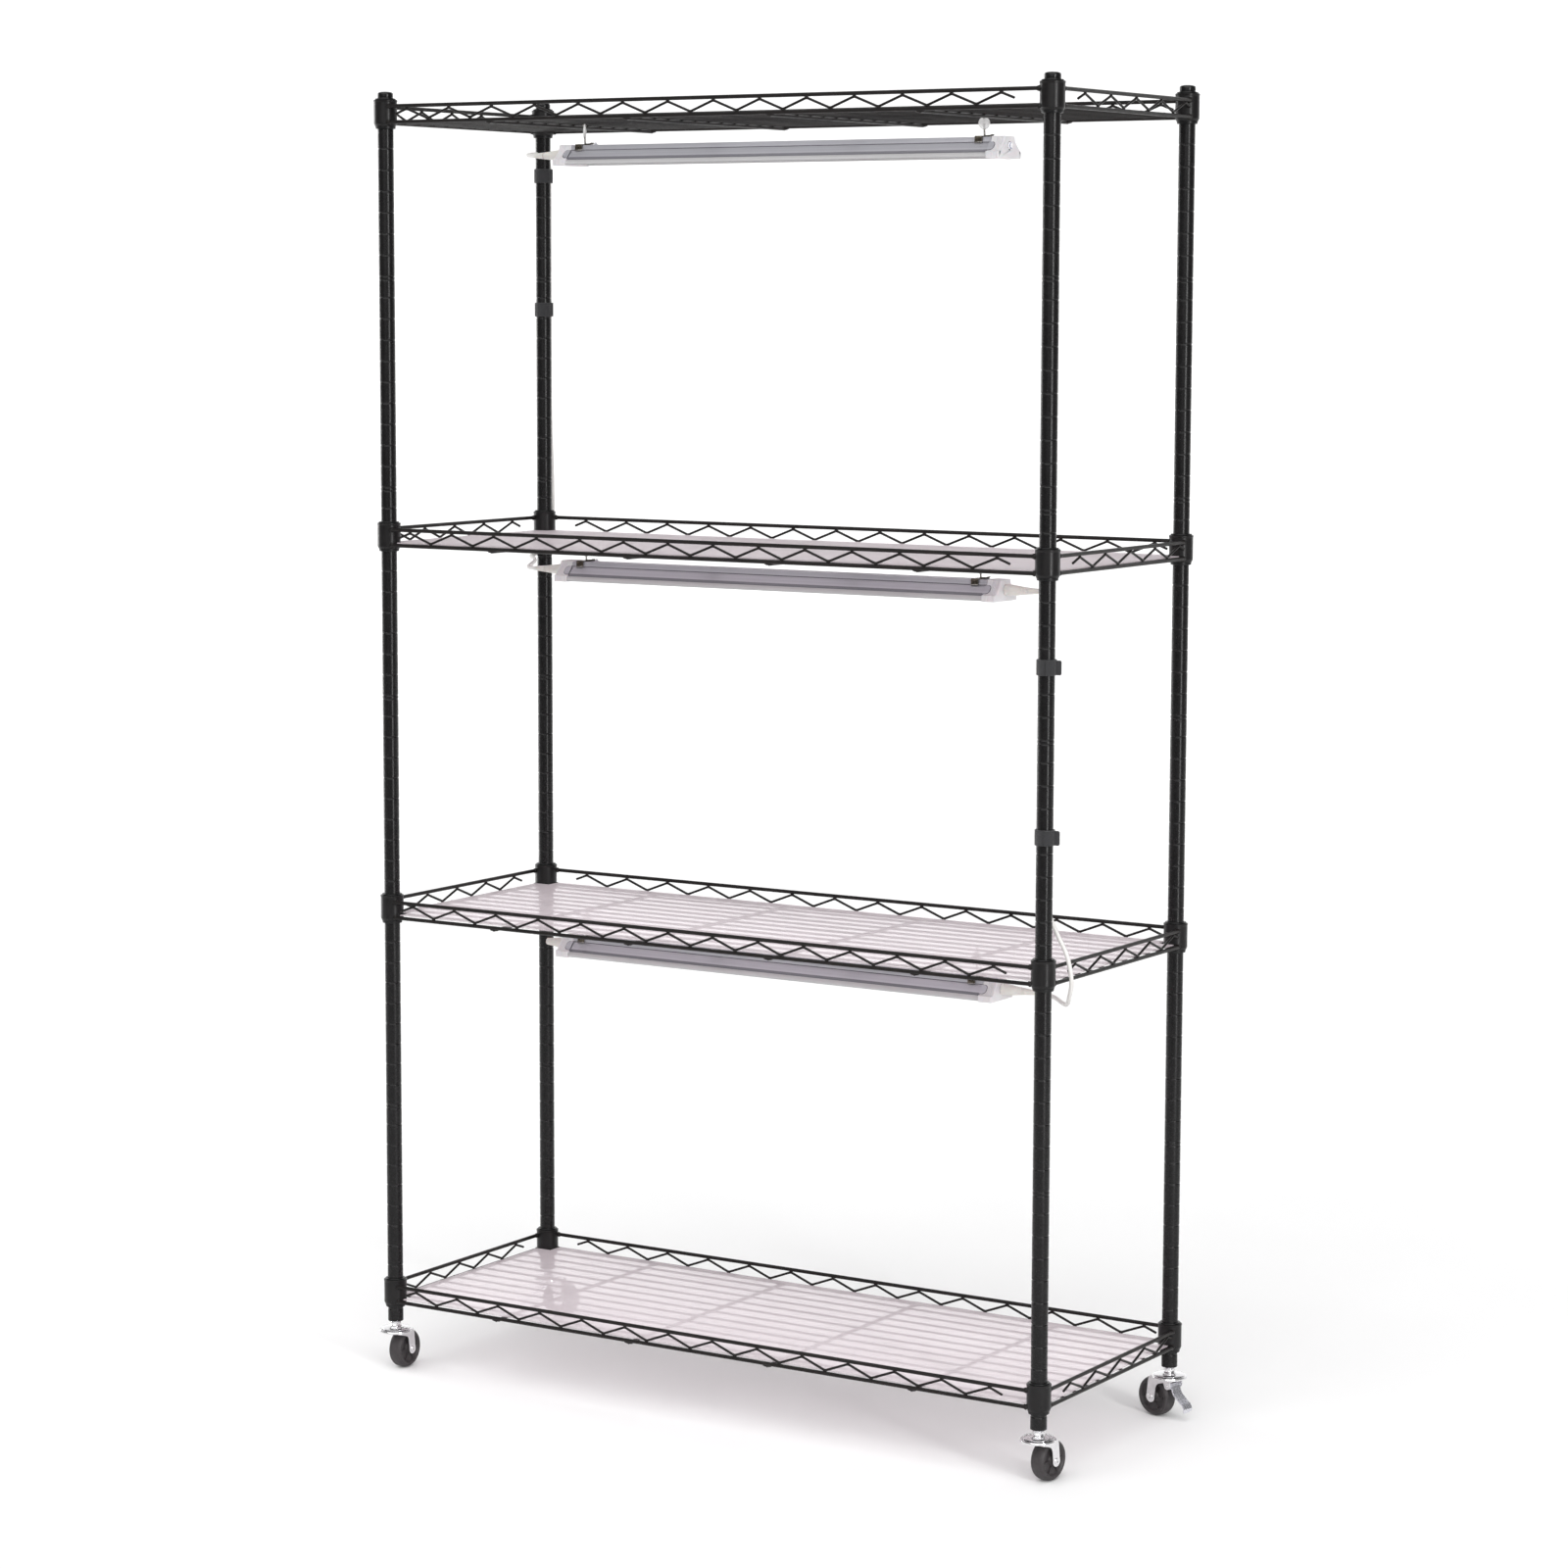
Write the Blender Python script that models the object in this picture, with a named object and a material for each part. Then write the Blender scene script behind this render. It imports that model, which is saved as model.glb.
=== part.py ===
"""A wire shelving rack for plants: four posts on casters, four wire shelves,
three hanging grow lights and the cords that link them.

Metres, +Z up. The origin is on the floor at the middle of the four posts.
+X runs along the rack to the right, and the front faces -Y.
"""
import math

import bmesh
import bpy
from mathutils import Matrix, Vector

# ---- driving dimensions -------------------------------------------------
GAP = 0.0003                    # between pieces that touch
GROOVE_PITCH = 0.0254           # the posts' grooves, one inch apart
POST_X = 0.4555                 # half the distance between posts, along the rack
POST_Y = 0.1625                 # and across it
BOTTOM_SHELF_TOP = 0.116        # top of the lowest shelf's collars above the floor
GROOVES_BETWEEN = (19, 18, 20)  # grooves from one shelf to the next, bottom up

POST_R = 0.0095
POST_BORE_R = 0.0084
POST_BOTTOM = 0.063
POST_ABOVE_TOP_SHELF = 0.0028
CAP_HEIGHT = 0.0067
CAP_PLUG_R = 0.0080
CAP_PLUG_LENGTH = 0.0140
CAP_R = 0.0093
CAP_DOME = ((1.00, 0.60), (0.82, 0.92))   # shares of its radius and height

COLLAR_R = 0.01425
COLLAR_HEIGHT = 0.0315
COLLAR_BORE_R = (0.0127, 0.0117)   # bottom, top: the collar wedges on the sleeve
COLLAR_CHAMFER = (0.0011, 0.0025)  # across, up: round its lower edge
SLEEVE_R = (0.0122, 0.0112)
SLEEVE_BELOW = (0.0040, 0.0010)    # where its taper starts under the collar
SLEEVE_ABOVE = (0.0008, 0.0018)    # and where its lip ends over it

RAIL_OUT = 0.009                # rails lie this far outside the posts' centre lines
RAIL_R = 0.0023
SQUARED = 0.9                   # half the side of a square bar, per radius of its wire
RAIL_END_INSIDE = 0.0030        # rails end inside the collars' walls
TOP_RAIL_DROP = 0.008           # below the collar's top
BOTTOM_RAIL_DROP = 0.027
WELD_SINK = 0.7                 # distance of a thin wire from a rail, in its radius
TRUSS_R = 0.0015
TRUSS_FIRST_PEAK = 0.039        # from the left-hand post's centre
TRUSS_LAST_PEAK = 0.0585        # before the right-hand post's centre
TRUSS_PEAKS = (14, 5)           # long side, short side
TRUSS_SHORT_ENDS = (0.058, 0.023)
TRUSS_TAIL = 0.016
TRUSS_END_INSIDE = 0.0115       # a tail that reaches a collar ends inside its wall
MAT_WIRE_R = 0.0014
MAT_WIRES = 11
MAT_ABOVE_RAIL = 0.0005         # mat wires' centres over the lower rails'
MAT_OVERHANG = 0.0004
SUPPORT_R = 0.0020
SUPPORT_OVERHANG = 0.0010
SUPPORTS = 4
SUPPORT_INSET = 0.161           # first cross support from the post's centre

LINER_THICK = 0.0012
LINER_HALF = (0.461, 0.1675)
LINER_NOTCH = 0.0160            # square corner cut round each collar
LINER_TENT = 0.0022             # the liner rides over the hooks of the light below it
TENT_X = (0.008, 0.022)         # half widths of a tent's flat top and of its foot
TENT_Y = (0.006, 0.018)

LIGHT_X = (-0.307, 0.313)       # outer faces of the two end caps
LIGHT_CAP_LENGTH = 0.018
LIGHT_DROPS = (0.052, 0.049, 0.058)   # light top below its shelf's collar top
LIGHT_TUBE_R = 0.0075
LIGHT_TUBE_DROP = 0.0152
# half outlines (across, below the light's top): channel outside, channel inside, cap
CHANNEL_OUTSIDE = [(0.0110, 0), (0.0125, -0.0055), (0.0215, -0.0175), (0.0245, -0.0175),
                   (0.0245, -0.0235)]
CHANNEL_INSIDE = [(0.0233, -0.0235), (0.0233, -0.0187), (0.0209, -0.0187), (0.0116, -0.0062)]
END_CAP = [(0.0118, 0.0008), (0.0137, -0.0055), (0.0228, -0.0168), (0.0262, -0.0168),
           (0.0262, -0.0245)]
HOOK_X = (-0.277, 0.279)
HOOK_WIRE_R = 0.0009
HOOK_CLIP_WIDTH = 0.008
HOOK_CLIP_HALF = 0.0133         # half its inside width
HOOK_CLIP_THICK = 0.0008
HOOK_CLIP_ABOVE = 0.0004        # its inside over the channel's top
HOOK_CLIP_LIP = -0.0062
HOOK_TURN = (215, 170, 130, 90, 50, 10, -30)   # degrees round the mat wire
HOOK_NECK = 2.6                 # loop radii below the mat wire

BUTTON_R = 0.0046
BUTTON_BORE_R = 0.0050
BUTTON_DEPTH = 0.0065
BUTTON_Z = -0.0100
BUTTON_TRAVEL = 0.0015
BUTTON_PROUD = 0.0018
BUTTON_EDGE = 0.0006

CONNECTOR_LENGTH = 0.030
CONNECTOR_R = (0.0068, 0.0033)
CONNECTOR_WAIST = (0.97, 0.45)  # radius and length shares where its taper starts
CONNECTOR_DROP = 0.0115
CORD_R = 0.0025
CORD_STEP = 0.0135              # 2.7 diameters from point to point
# route points of the two cords, whose ends meet the connectors' tips
LINK_CORD_UPPER = [
    (-0.3376, 0.0000, 1.5003), (-0.3520, 0.0020, 1.5006), (-0.3780, 0.0240, 1.5022),
    (-0.4120, 0.0750, 1.5050), (-0.4380, 0.1240, 1.5075), (-0.4560, 0.1458, 1.5085),
    (-0.4700, 0.1550, 1.5085), (-0.4722, 0.1680, 1.5070), (-0.4645, 0.1766, 1.5030),
    (-0.4566, 0.1768, 1.4970), (-0.4555, 0.1762, 1.4915), (-0.4555, 0.1762, 1.4725),
    (-0.4555, 0.1764, 1.4400), (-0.4560, 0.1768, 1.3800), (-0.4555, 0.1762, 1.3229),
    (-0.4555, 0.1762, 1.3029), (-0.4560, 0.1770, 1.2500), (-0.4575, 0.1790, 1.1800),
    (-0.4565, 0.1810, 1.1100), (-0.4560, 0.1812, 1.0600), (-0.4570, 0.1808, 1.0230),
    (-0.4640, 0.1790, 1.0080), (-0.4730, 0.1700, 1.0010), (-0.4720, 0.1560, 0.9985),
    (-0.4590, 0.1430, 0.9970), (-0.4370, 0.1150, 0.9955), (-0.4080, 0.0660, 0.9945),
    (-0.3760, 0.0180, 0.9950), (-0.3540, 0.0010, 0.9953), (-0.3376, 0.0000, 0.9953),
]
LINK_CORD_LOWER = [
    (0.3436, 0.0000, 0.9953), (0.3580, -0.0010, 0.9955), (0.3810, -0.0240, 0.9955),
    (0.4090, -0.0740, 0.9950), (0.4300, -0.1180, 0.9935), (0.4425, -0.1400, 0.9880),
    (0.4482, -0.1500, 0.9740), (0.4484, -0.1508, 0.9500), (0.4484, -0.1508, 0.9355),
    (0.4484, -0.1508, 0.9155), (0.4482, -0.1500, 0.8700), (0.4482, -0.1503, 0.8000),
    (0.4484, -0.1508, 0.7463), (0.4484, -0.1508, 0.7263), (0.4486, -0.1500, 0.6900),
    (0.4520, -0.1450, 0.6500), (0.4610, -0.1400, 0.6240), (0.4690, -0.1350, 0.6040),
    (0.4712, -0.1290, 0.5850), (0.4706, -0.1240, 0.5680), (0.4620, -0.1130, 0.5500),
    (0.4460, -0.0880, 0.5370), (0.4180, -0.0480, 0.5300), (0.3860, -0.0120, 0.5291),
    (0.3620, -0.0005, 0.5291), (0.3436, 0.0000, 0.5291),
]

STRAP_HEIGHT = 0.018
STRAP_THICK = 0.0014
STRAP_SLACK = 0.0008
STRAP_TAIL = (0.0085, 0.0010, 0.0006)   # length, and thickness either side
STRAP_TAIL_EDGE = 0.0004        # shorter than the band at top and bottom
# post, height, the cord's place across the post, and the tail's turn in degrees
STRAPS = {
    "strap_back_left_upper": ("back_left", 1.4815, (-0.4555, 0.1762), -20),
    "strap_back_left_lower": ("back_left", 1.3129, (-0.4555, 0.1762), -20),
    "strap_front_right_upper": ("front_right", 0.9255, (0.4484, -0.1508), -5),
    "strap_front_right_lower": ("front_right", 0.7363, (0.4484, -0.1508), -5),
}

WHEEL_R = 0.024
WHEEL_WIDTH = 0.019
WHEEL_SIDES = 16
TRAIL = 0.019                   # wheel centre behind the swivel axis
YOKE_R = 0.021
YOKE_TOP = 0.0525
YOKE_DISC = 0.0035
CHEEK_INSIDE = 0.0103
CHEEK_THICK = 0.0018
AXLE_R = 0.0032
KINGPIN_R = 0.0035
RACE_R = 0.0185
RACE_THICK = 0.0026
STEM_R = 0.0080
STEM_LENGTH = 0.030
NECK_R = 0.0068
KINGPIN_HEAD = (0.0060, 0.0012) # radius, height
RACE_GAP = 0.0004               # running clearance over and under the yoke's disc
RACE_EDGE = 0.0010
RACE_CROWN_R = 0.0120
YOKE_EDGE = 0.0015
CHEEK_TOP = ((-0.0115, 0.0165), (0.0222, 0.0455))   # at the disc, and its hind corner
CHEEK_FRONT = [(0.0105, 0.0400), (-0.0010, 0.0448)]
CHEEK_NOSE = (-0.0110, 0.0472)
AXLE_BOSS_R = 0.0066
BRAKE_BOSS_R = 0.0042
RIVET_PROUD = (0.0010, 0.0006)  # axle, brake pin
HUB_CLEARANCE = 0.0004
# (radius, distance inside the wheel's side): hub, dish, rim
WHEEL_DISH = [(0.0085, 0), (0.0120, 0.0022), (0.0212, 0.0010)]
WHEEL_SHOULDER = 0.0042
BRAKE_PIVOT = (-0.0070, 0.0415) # in the yoke's own trail and height
BRAKE_PIN_R = 0.0018
BARREL_R = 0.0032
# the pedal's and the shoe's middle lines from the pivot (trail, height)
PEDAL = [(-0.0030, 0.0006), (-0.0060, -0.0095), (-0.0140, -0.0160), (-0.0205, -0.0200),
         (-0.0235, -0.0260), (-0.0205, -0.0300)]
PEDAL_HALF = (0.0008, 0.0075)   # half thickness, half width
SHOE = [(0.0015, -0.0025), (0.0033, -0.0054)]
SHOE_HALF = (0.0010, 0.0060)

ROUND = 10                      # sides of turned pieces
PIN_SIDES = 8
SHARP_ANGLE = 35                # degrees
SQUARE_SECTION = ((1, 1), (-1, 1), (-1, -1), (1, -1))
THREE_SIDED = ((0, 1.2), (-1, -0.6), (1, -0.6))
CORNERS = {
    "front_left": (-1, -1), "front_right": (1, -1),
    "back_right": (1, 1), "back_left": (-1, 1),
}
# the way each wheel trails from its post, in degrees from +X
TRAIL_TURN = {"front_left": 93, "front_right": 82, "back_right": 165, "back_left": 15}
BRAKED = ("back_right", "back_left")
SHELF_NAMES = ("top", "upper", "lower", "bottom")
LINED = ("upper", "lower", "bottom")
LIGHT_NAMES = ("top", "middle", "low")


def shelf_tops():
    """Heights of the shelves' collar tops, from the top shelf down."""
    tops = [BOTTOM_SHELF_TOP]
    for grooves in GROOVES_BETWEEN:
        tops.append(tops[-1] + grooves * GROOVE_PITCH)
    return tops[::-1]


# ---- materials ----------------------------------------------------------
def material(name, color, roughness, metallic=0.0, transmission=0.0, glow=0.0):
    mat = bpy.data.materials.new(name)
    mat.use_nodes = True
    shader = mat.node_tree.nodes["Principled BSDF"]
    shader.inputs["Base Color"].default_value = (*color, 1.0)
    shader.inputs["Roughness"].default_value = roughness
    shader.inputs["Metallic"].default_value = metallic
    shader.inputs["Transmission Weight"].default_value = transmission
    shader.inputs["Emission Color"].default_value = (*color, 1.0)
    shader.inputs["Emission Strength"].default_value = glow
    mat.diffuse_color = (*color, 1.0)
    return mat


def make_materials():
    return {
        "post": material("post_black", (0.012, 0.012, 0.013), 0.32, 0.3),
        "shelf": material("wire_black", (0.010, 0.010, 0.011), 0.42, 0.3),
        "cap": material("cap_plastic", (0.008, 0.008, 0.009), 0.35),
        "liner": material("liner_plastic", (0.86, 0.80, 0.83), 0.45, 0.0, 0.6),
        "housing": material("light_aluminium", (0.62, 0.61, 0.66), 0.35, 0.8),
        "tube": material("light_diffuser", (0.95, 0.90, 0.92), 0.5, 0.0, 0.0, 1.0),
        "end_cap": material("end_cap_plastic", (0.86, 0.85, 0.84), 0.4),
        "hook": material("hook_steel", (0.55, 0.54, 0.52), 0.3, 1.0),
        "button": material("button_plastic", (0.90, 0.90, 0.92), 0.35),
        "connector": material("connector_plastic", (0.88, 0.86, 0.83), 0.4),
        "cord": material("cord_plastic", (0.88, 0.87, 0.85), 0.45),
        "strap": material("strap_fabric", (0.010, 0.010, 0.010), 0.85),
        "zinc": material("caster_zinc", (0.70, 0.70, 0.72), 0.25, 1.0),
        "tyre": material("wheel_black", (0.020, 0.020, 0.021), 0.6),
        "lever": material("lever_steel", (0.66, 0.66, 0.70), 0.35, 0.9),
    }


# ---- mesh helpers -------------------------------------------------------
def mesh_from(name, bm):
    bmesh.ops.recalc_face_normals(bm, faces=bm.faces)
    mesh = bpy.data.meshes.new(name)
    bm.to_mesh(mesh)
    bm.free()
    return mesh


def add_object(name, mesh, mat, at=(0, 0, 0), turn=0.0, smooth=True):
    if not mesh.materials:
        mesh.materials.append(mat)
    if smooth:
        mesh.shade_smooth()
        mesh.set_sharp_from_angle(angle=math.radians(SHARP_ANGLE))
    obj = bpy.data.objects.new(name, mesh)
    obj.location = at
    obj.rotation_euler = (0, 0, turn)
    bpy.context.scene.collection.objects.link(obj)
    return obj


def turned(bm, profile, sides=ROUND, axis="Z", phase=0.5, closed=False):
    """Turns (radius, height) points round an axis. A closed profile makes a ring."""
    rings = []
    for radius, height in profile:
        if radius < 1e-6:
            rings.append([bm.verts.new(on_axis(axis, 0, 0, height))])
            continue
        ring = []
        for i in range(sides):
            a = 2 * math.pi * (i + phase) / sides
            point = on_axis(axis, radius * math.cos(a), radius * math.sin(a), height)
            ring.append(bm.verts.new(point))
        rings.append(ring)
    pairs = list(zip(rings, rings[1:]))
    if closed:
        pairs.append((rings[-1], rings[0]))
    for low, high in pairs:
        bridge(bm, low, high)
    if not closed:
        for ring in (rings[0], rings[-1]):
            if len(ring) > 1:
                bm.faces.new(ring)


def on_axis(axis, a, b, height):
    """A point at (a, b) across an axis and height along it."""
    if axis == "Z":
        return (a, b, height)
    if axis == "Y":
        return (a, height, b)
    return (height, a, b)


def bridge(bm, low, high):
    count = max(len(low), len(high))
    for i in range(count):
        j = (i + 1) % count
        corners = [low[i % len(low)], low[j % len(low)], high[j % len(high)], high[i % len(high)]]
        unique = list(dict.fromkeys(corners))
        bm.faces.new(unique)


def prism(bm, outline, across, axis="X"):
    """Extrudes an outline of (a, b) points between the two places in across."""
    ends = []
    for place in across:
        ends.append([bm.verts.new(on_axis(axis, a, b, place)) for a, b in outline])
    bridge(bm, ends[0], ends[1])
    bm.faces.new(ends[0])
    bm.faces.new(ends[1])


def box(bm, low, high):
    outline = [(low[0], low[1]), (high[0], low[1]), (high[0], high[1]), (low[0], high[1])]
    prism(bm, outline, (low[2], high[2]), "Z")


def bent_bar(bm, points, half, normal, section=SQUARE_SECTION):
    """A mitred bar along points that lie in a plane with the given normal."""
    normal = Vector(normal)
    points = [Vector(p) for p in points]
    sections = []
    for i, point in enumerate(points):
        before = (point - points[i - 1]).normalized() if i else None
        after = (points[i + 1] - point).normalized() if i < len(points) - 1 else None
        sides = [normal.cross(d) for d in (before, after) if d is not None]
        mitre = sum(sides, Vector()).normalized()
        reach = half / mitre.dot(sides[0])
        sections.append([
            bm.verts.new(point + mitre * reach * a + normal * half * b)
            for a, b in section
        ])
    for low, high in zip(sections, sections[1:]):
        bridge(bm, low, high)
    bm.faces.new(sections[0])
    bm.faces.new(sections[-1])


def combined(name, meshes, operation):
    """The first mesh after a boolean with each of the others."""
    parts = [bpy.data.objects.new(name + "_operand", m) for m in meshes]
    for obj in parts:
        bpy.context.scene.collection.objects.link(obj)
    base = parts[0]
    for other in parts[1:]:
        modifier = base.modifiers.new("boolean", "BOOLEAN")
        modifier.operation = operation
        modifier.solver = "EXACT"
        modifier.object = other
    bpy.context.view_layer.update()
    graph = bpy.context.evaluated_depsgraph_get()
    made = bpy.data.meshes.new_from_object(base.evaluated_get(graph))
    made.name = name
    for obj in parts:
        bpy.data.objects.remove(obj, do_unlink=True)
    return made


def union(name, meshes):
    """One closed mesh from meshes that overlap each other."""
    return combined(name, meshes, "UNION")


# ---- posts --------------------------------------------------------------
def post_profile():
    """The tube's wall with a tapered sleeve under each shelf's collar."""
    tops = shelf_tops()
    post_top = tops[0] + POST_ABOVE_TOP_SHELF
    outline = [(POST_BORE_R, POST_BOTTOM), (POST_R, POST_BOTTOM)]
    for top in reversed(tops):
        outline += [
            (POST_R, top - COLLAR_HEIGHT - SLEEVE_BELOW[0]),
            (SLEEVE_R[0], top - COLLAR_HEIGHT - SLEEVE_BELOW[1]),
            (SLEEVE_R[1], top + SLEEVE_ABOVE[0]),
            (POST_R, top + SLEEVE_ABOVE[1]),
        ]
    outline += [(POST_R, post_top), (POST_BORE_R, post_top)]
    return outline


def make_posts(mats):
    bm = bmesh.new()
    turned(bm, post_profile(), closed=True)
    mesh = mesh_from("post", bm)
    for corner, (sx, sy) in CORNERS.items():
        add_object("post_" + corner, mesh, mats["post"], (sx * POST_X, sy * POST_Y, 0))


def make_caps(mats):
    seat = shelf_tops()[0] + POST_ABOVE_TOP_SHELF + GAP
    plug = seat - CAP_PLUG_LENGTH
    profile = [(0, plug), (CAP_PLUG_R, plug), (CAP_PLUG_R, seat), (CAP_R, seat)]
    profile += [(CAP_R * wide, seat + CAP_HEIGHT * high) for wide, high in CAP_DOME]
    profile.append((0, seat + CAP_HEIGHT))
    bm = bmesh.new()
    turned(bm, profile)
    mesh = mesh_from("post_cap", bm)
    for corner, (sx, sy) in CORNERS.items():
        add_object("cap_" + corner, mesh, mats["cap"], (sx * POST_X, sy * POST_Y, 0))


# ---- wire shelves; heights are measured from the collars' tops ----------
def mat_height():
    return -BOTTOM_RAIL_DROP + MAT_ABOVE_RAIL


def support_height():
    return mat_height() - SQUARED * MAT_WIRE_R - GAP - SQUARED * SUPPORT_R


def collar_mesh():
    outline = [
        (COLLAR_BORE_R[0], -COLLAR_HEIGHT), (COLLAR_R - COLLAR_CHAMFER[0], -COLLAR_HEIGHT),
        (COLLAR_R, -COLLAR_HEIGHT + COLLAR_CHAMFER[1]), (COLLAR_R, 0), (COLLAR_BORE_R[1], 0),
    ]
    bm = bmesh.new()
    for sx, sy in CORNERS.values():
        before = len(bm.verts)
        turned(bm, outline, closed=True)
        bm.verts.ensure_lookup_table()
        new = bm.verts[before:]
        bmesh.ops.translate(bm, verts=new, vec=(sx * POST_X, sy * POST_Y, 0))
    return mesh_from("collars", bm)


def rails_mesh():
    bm = bmesh.new()
    inset = COLLAR_R - RAIL_END_INSIDE
    x, y, half = POST_X - inset, POST_Y - inset, SQUARED * RAIL_R
    for drop in (TOP_RAIL_DROP, BOTTOM_RAIL_DROP):
        for s in (-1, 1):
            wide, deep = s * (POST_Y + RAIL_OUT), s * (POST_X + RAIL_OUT)
            bent_bar(bm, [(-x, wide, -drop), (x, wide, -drop)], half, (0, 1, 0))
            bent_bar(bm, [(deep, -y, -drop), (deep, y, -drop)], half, (1, 0, 0))
    return mesh_from("rails", bm)


def truss_points(first, last, length, peaks):
    """(distance, height) of the zigzag wire, with a half tail at both ends."""
    apart = SQUARED * RAIL_R + WELD_SINK * TRUSS_R
    high, low = -TOP_RAIL_DROP - apart, -BOTTOM_RAIL_DROP + apart
    pitch = (length - first - last) / (peaks - 1)
    slope = (high - low) / 2 / TRUSS_TAIL
    tails = [min(TRUSS_TAIL, end - TRUSS_END_INSIDE) for end in (first, last)]
    points = [(first - tails[0], high - slope * tails[0])]
    for i in range(peaks):
        points.append((first + i * pitch, high))
        if i < peaks - 1:
            points.append((first + (i + 0.5) * pitch, low))
    points.append((length - last + tails[1], high - slope * tails[1]))
    return points


def trusses_mesh():
    bm = bmesh.new()
    long_side = truss_points(TRUSS_FIRST_PEAK, TRUSS_LAST_PEAK, 2 * POST_X, TRUSS_PEAKS[0])
    short_side = truss_points(*TRUSS_SHORT_ENDS, 2 * POST_Y, TRUSS_PEAKS[1])
    for s in (-1, 1):
        y = s * (POST_Y + RAIL_OUT)
        x = -s * (POST_X + RAIL_OUT)
        run = [(s * POST_X - s * d, y, z) for d, z in long_side]
        bent_bar(bm, run, TRUSS_R, (0, 1, 0), THREE_SIDED)
        run = [(x, s * POST_Y - s * d, z) for d, z in short_side]
        bent_bar(bm, run, TRUSS_R, (1, 0, 0), THREE_SIDED)
    return mesh_from("trusses", bm)


def supports_mesh():
    """Cross supports, whose ends are welded under the front and back rails."""
    bm = bmesh.new()
    pitch = 2 * (POST_X - SUPPORT_INSET) / (SUPPORTS - 1)
    reach = POST_Y + RAIL_OUT + SUPPORT_OVERHANG
    z, half = support_height(), SQUARED * SUPPORT_R
    for i in range(SUPPORTS):
        x = -POST_X + SUPPORT_INSET + i * pitch
        box(bm, (x - half, -reach, z - half), (x + half, reach, z + half))
    return mesh_from("supports", bm)


def mat_mesh():
    """Mat wires along the rack, whose ends are welded to the side rails."""
    bm = bmesh.new()
    pitch = 2 * (POST_Y + RAIL_OUT) / (MAT_WIRES + 1)
    reach = POST_X + RAIL_OUT + MAT_OVERHANG
    z, half = mat_height(), SQUARED * MAT_WIRE_R
    for i in range(MAT_WIRES):
        y = (i - (MAT_WIRES - 1) / 2) * pitch
        box(bm, (-reach, y - half, z - half), (reach, y + half, z + half))
    return mesh_from("mat", bm)


def make_shelves(mats):
    pieces = [collar_mesh(), rails_mesh(), trusses_mesh(), supports_mesh(), mat_mesh()]
    mesh = union("wire_shelf", pieces)
    for name, top in zip(SHELF_NAMES, shelf_tops()):
        add_object("shelf_" + name, mesh, mats["shelf"], (0, 0, top), smooth=False)


# ---- shelf liners -------------------------------------------------------
def liner_mesh(tented):
    """A thin sheet with square corner notches, lifted over the light's hooks."""
    hx, hy = LINER_HALF
    nx, ny = POST_X - LINER_NOTCH, POST_Y - LINER_NOTCH
    xs = [-hx, -nx, nx, hx]
    ys = [-hy, -ny, ny, hy]
    if tented:
        for centre in HOOK_X:
            xs += [centre + side * reach for reach in TENT_X for side in (-1, 1)]
        ys += [side * reach for reach in TENT_Y for side in (-1, 1)]
    xs.sort()
    ys.sort()
    bm = bmesh.new()
    lower, upper = {}, {}
    for x in xs:
        for y in ys:
            if abs(x) > nx and abs(y) > ny:
                continue
            over_hook = min(abs(x - c) for c in HOOK_X) < sum(TENT_X) / 2
            over_hook = over_hook and abs(y) < sum(TENT_Y) / 2
            lift = LINER_TENT if tented and over_hook else 0.0
            lower[x, y] = bm.verts.new((x, y, lift))
            upper[x, y] = bm.verts.new((x, y, lift + LINER_THICK))
    skin_grid(bm, xs, ys, lower, upper)
    return mesh_from("liner", bm)


def skin_grid(bm, xs, ys, lower, upper):
    """Faces over a grid with missing corners, and walls along its open edges."""
    cells = []
    for xa, xb in zip(xs, xs[1:]):
        for ya, yb in zip(ys, ys[1:]):
            ring = [(xa, ya), (xb, ya), (xb, yb), (xa, yb)]
            if all(key in lower for key in ring):
                cells.append(ring)
    edges = {}
    for ring in cells:
        bm.faces.new([upper[k] for k in ring])
        bm.faces.new([lower[k] for k in reversed(ring)])
        for a, b in zip(ring, ring[1:] + ring[:1]):
            edges[a, b] = edges.get((a, b), 0) + 1
    for a, b in edges:
        if (b, a) not in edges:
            bm.faces.new([lower[a], lower[b], upper[b], upper[a]])


def make_liners(mats):
    flat, tented = liner_mesh(False), liner_mesh(True)
    rise = mat_height() + SQUARED * MAT_WIRE_R + GAP
    for name, top in zip(SHELF_NAMES, shelf_tops()):
        if name in LINED:
            mesh = flat if name == "bottom" else tented
            add_object("liner_" + name, mesh, mats["liner"], (0, 0, top + rise), smooth=False)


# ---- hanging lights; heights are measured from the light's top ----------
def mirrored(half_outline):
    """A closed outline from its +Y half, top to bottom."""
    return half_outline + [(-y, z) for y, z in reversed(half_outline)]


def light_body_meshes():
    """The aluminium channel and the diffuser tube between the end caps."""
    ends = (LIGHT_X[0] + LIGHT_CAP_LENGTH + GAP, LIGHT_X[1] - LIGHT_CAP_LENGTH - GAP)
    channel = bmesh.new()
    prism(channel, mirrored(CHANNEL_OUTSIDE + CHANNEL_INSIDE), ends, "X")
    tube = bmesh.new()
    turned(tube, [(LIGHT_TUBE_R, ends[0]), (LIGHT_TUBE_R, ends[1])], axis="X")
    bmesh.ops.translate(tube, verts=tube.verts, vec=(0, 0, -LIGHT_TUBE_DROP))
    return mesh_from("light_channel", channel), mesh_from("light_tube", tube)


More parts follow.
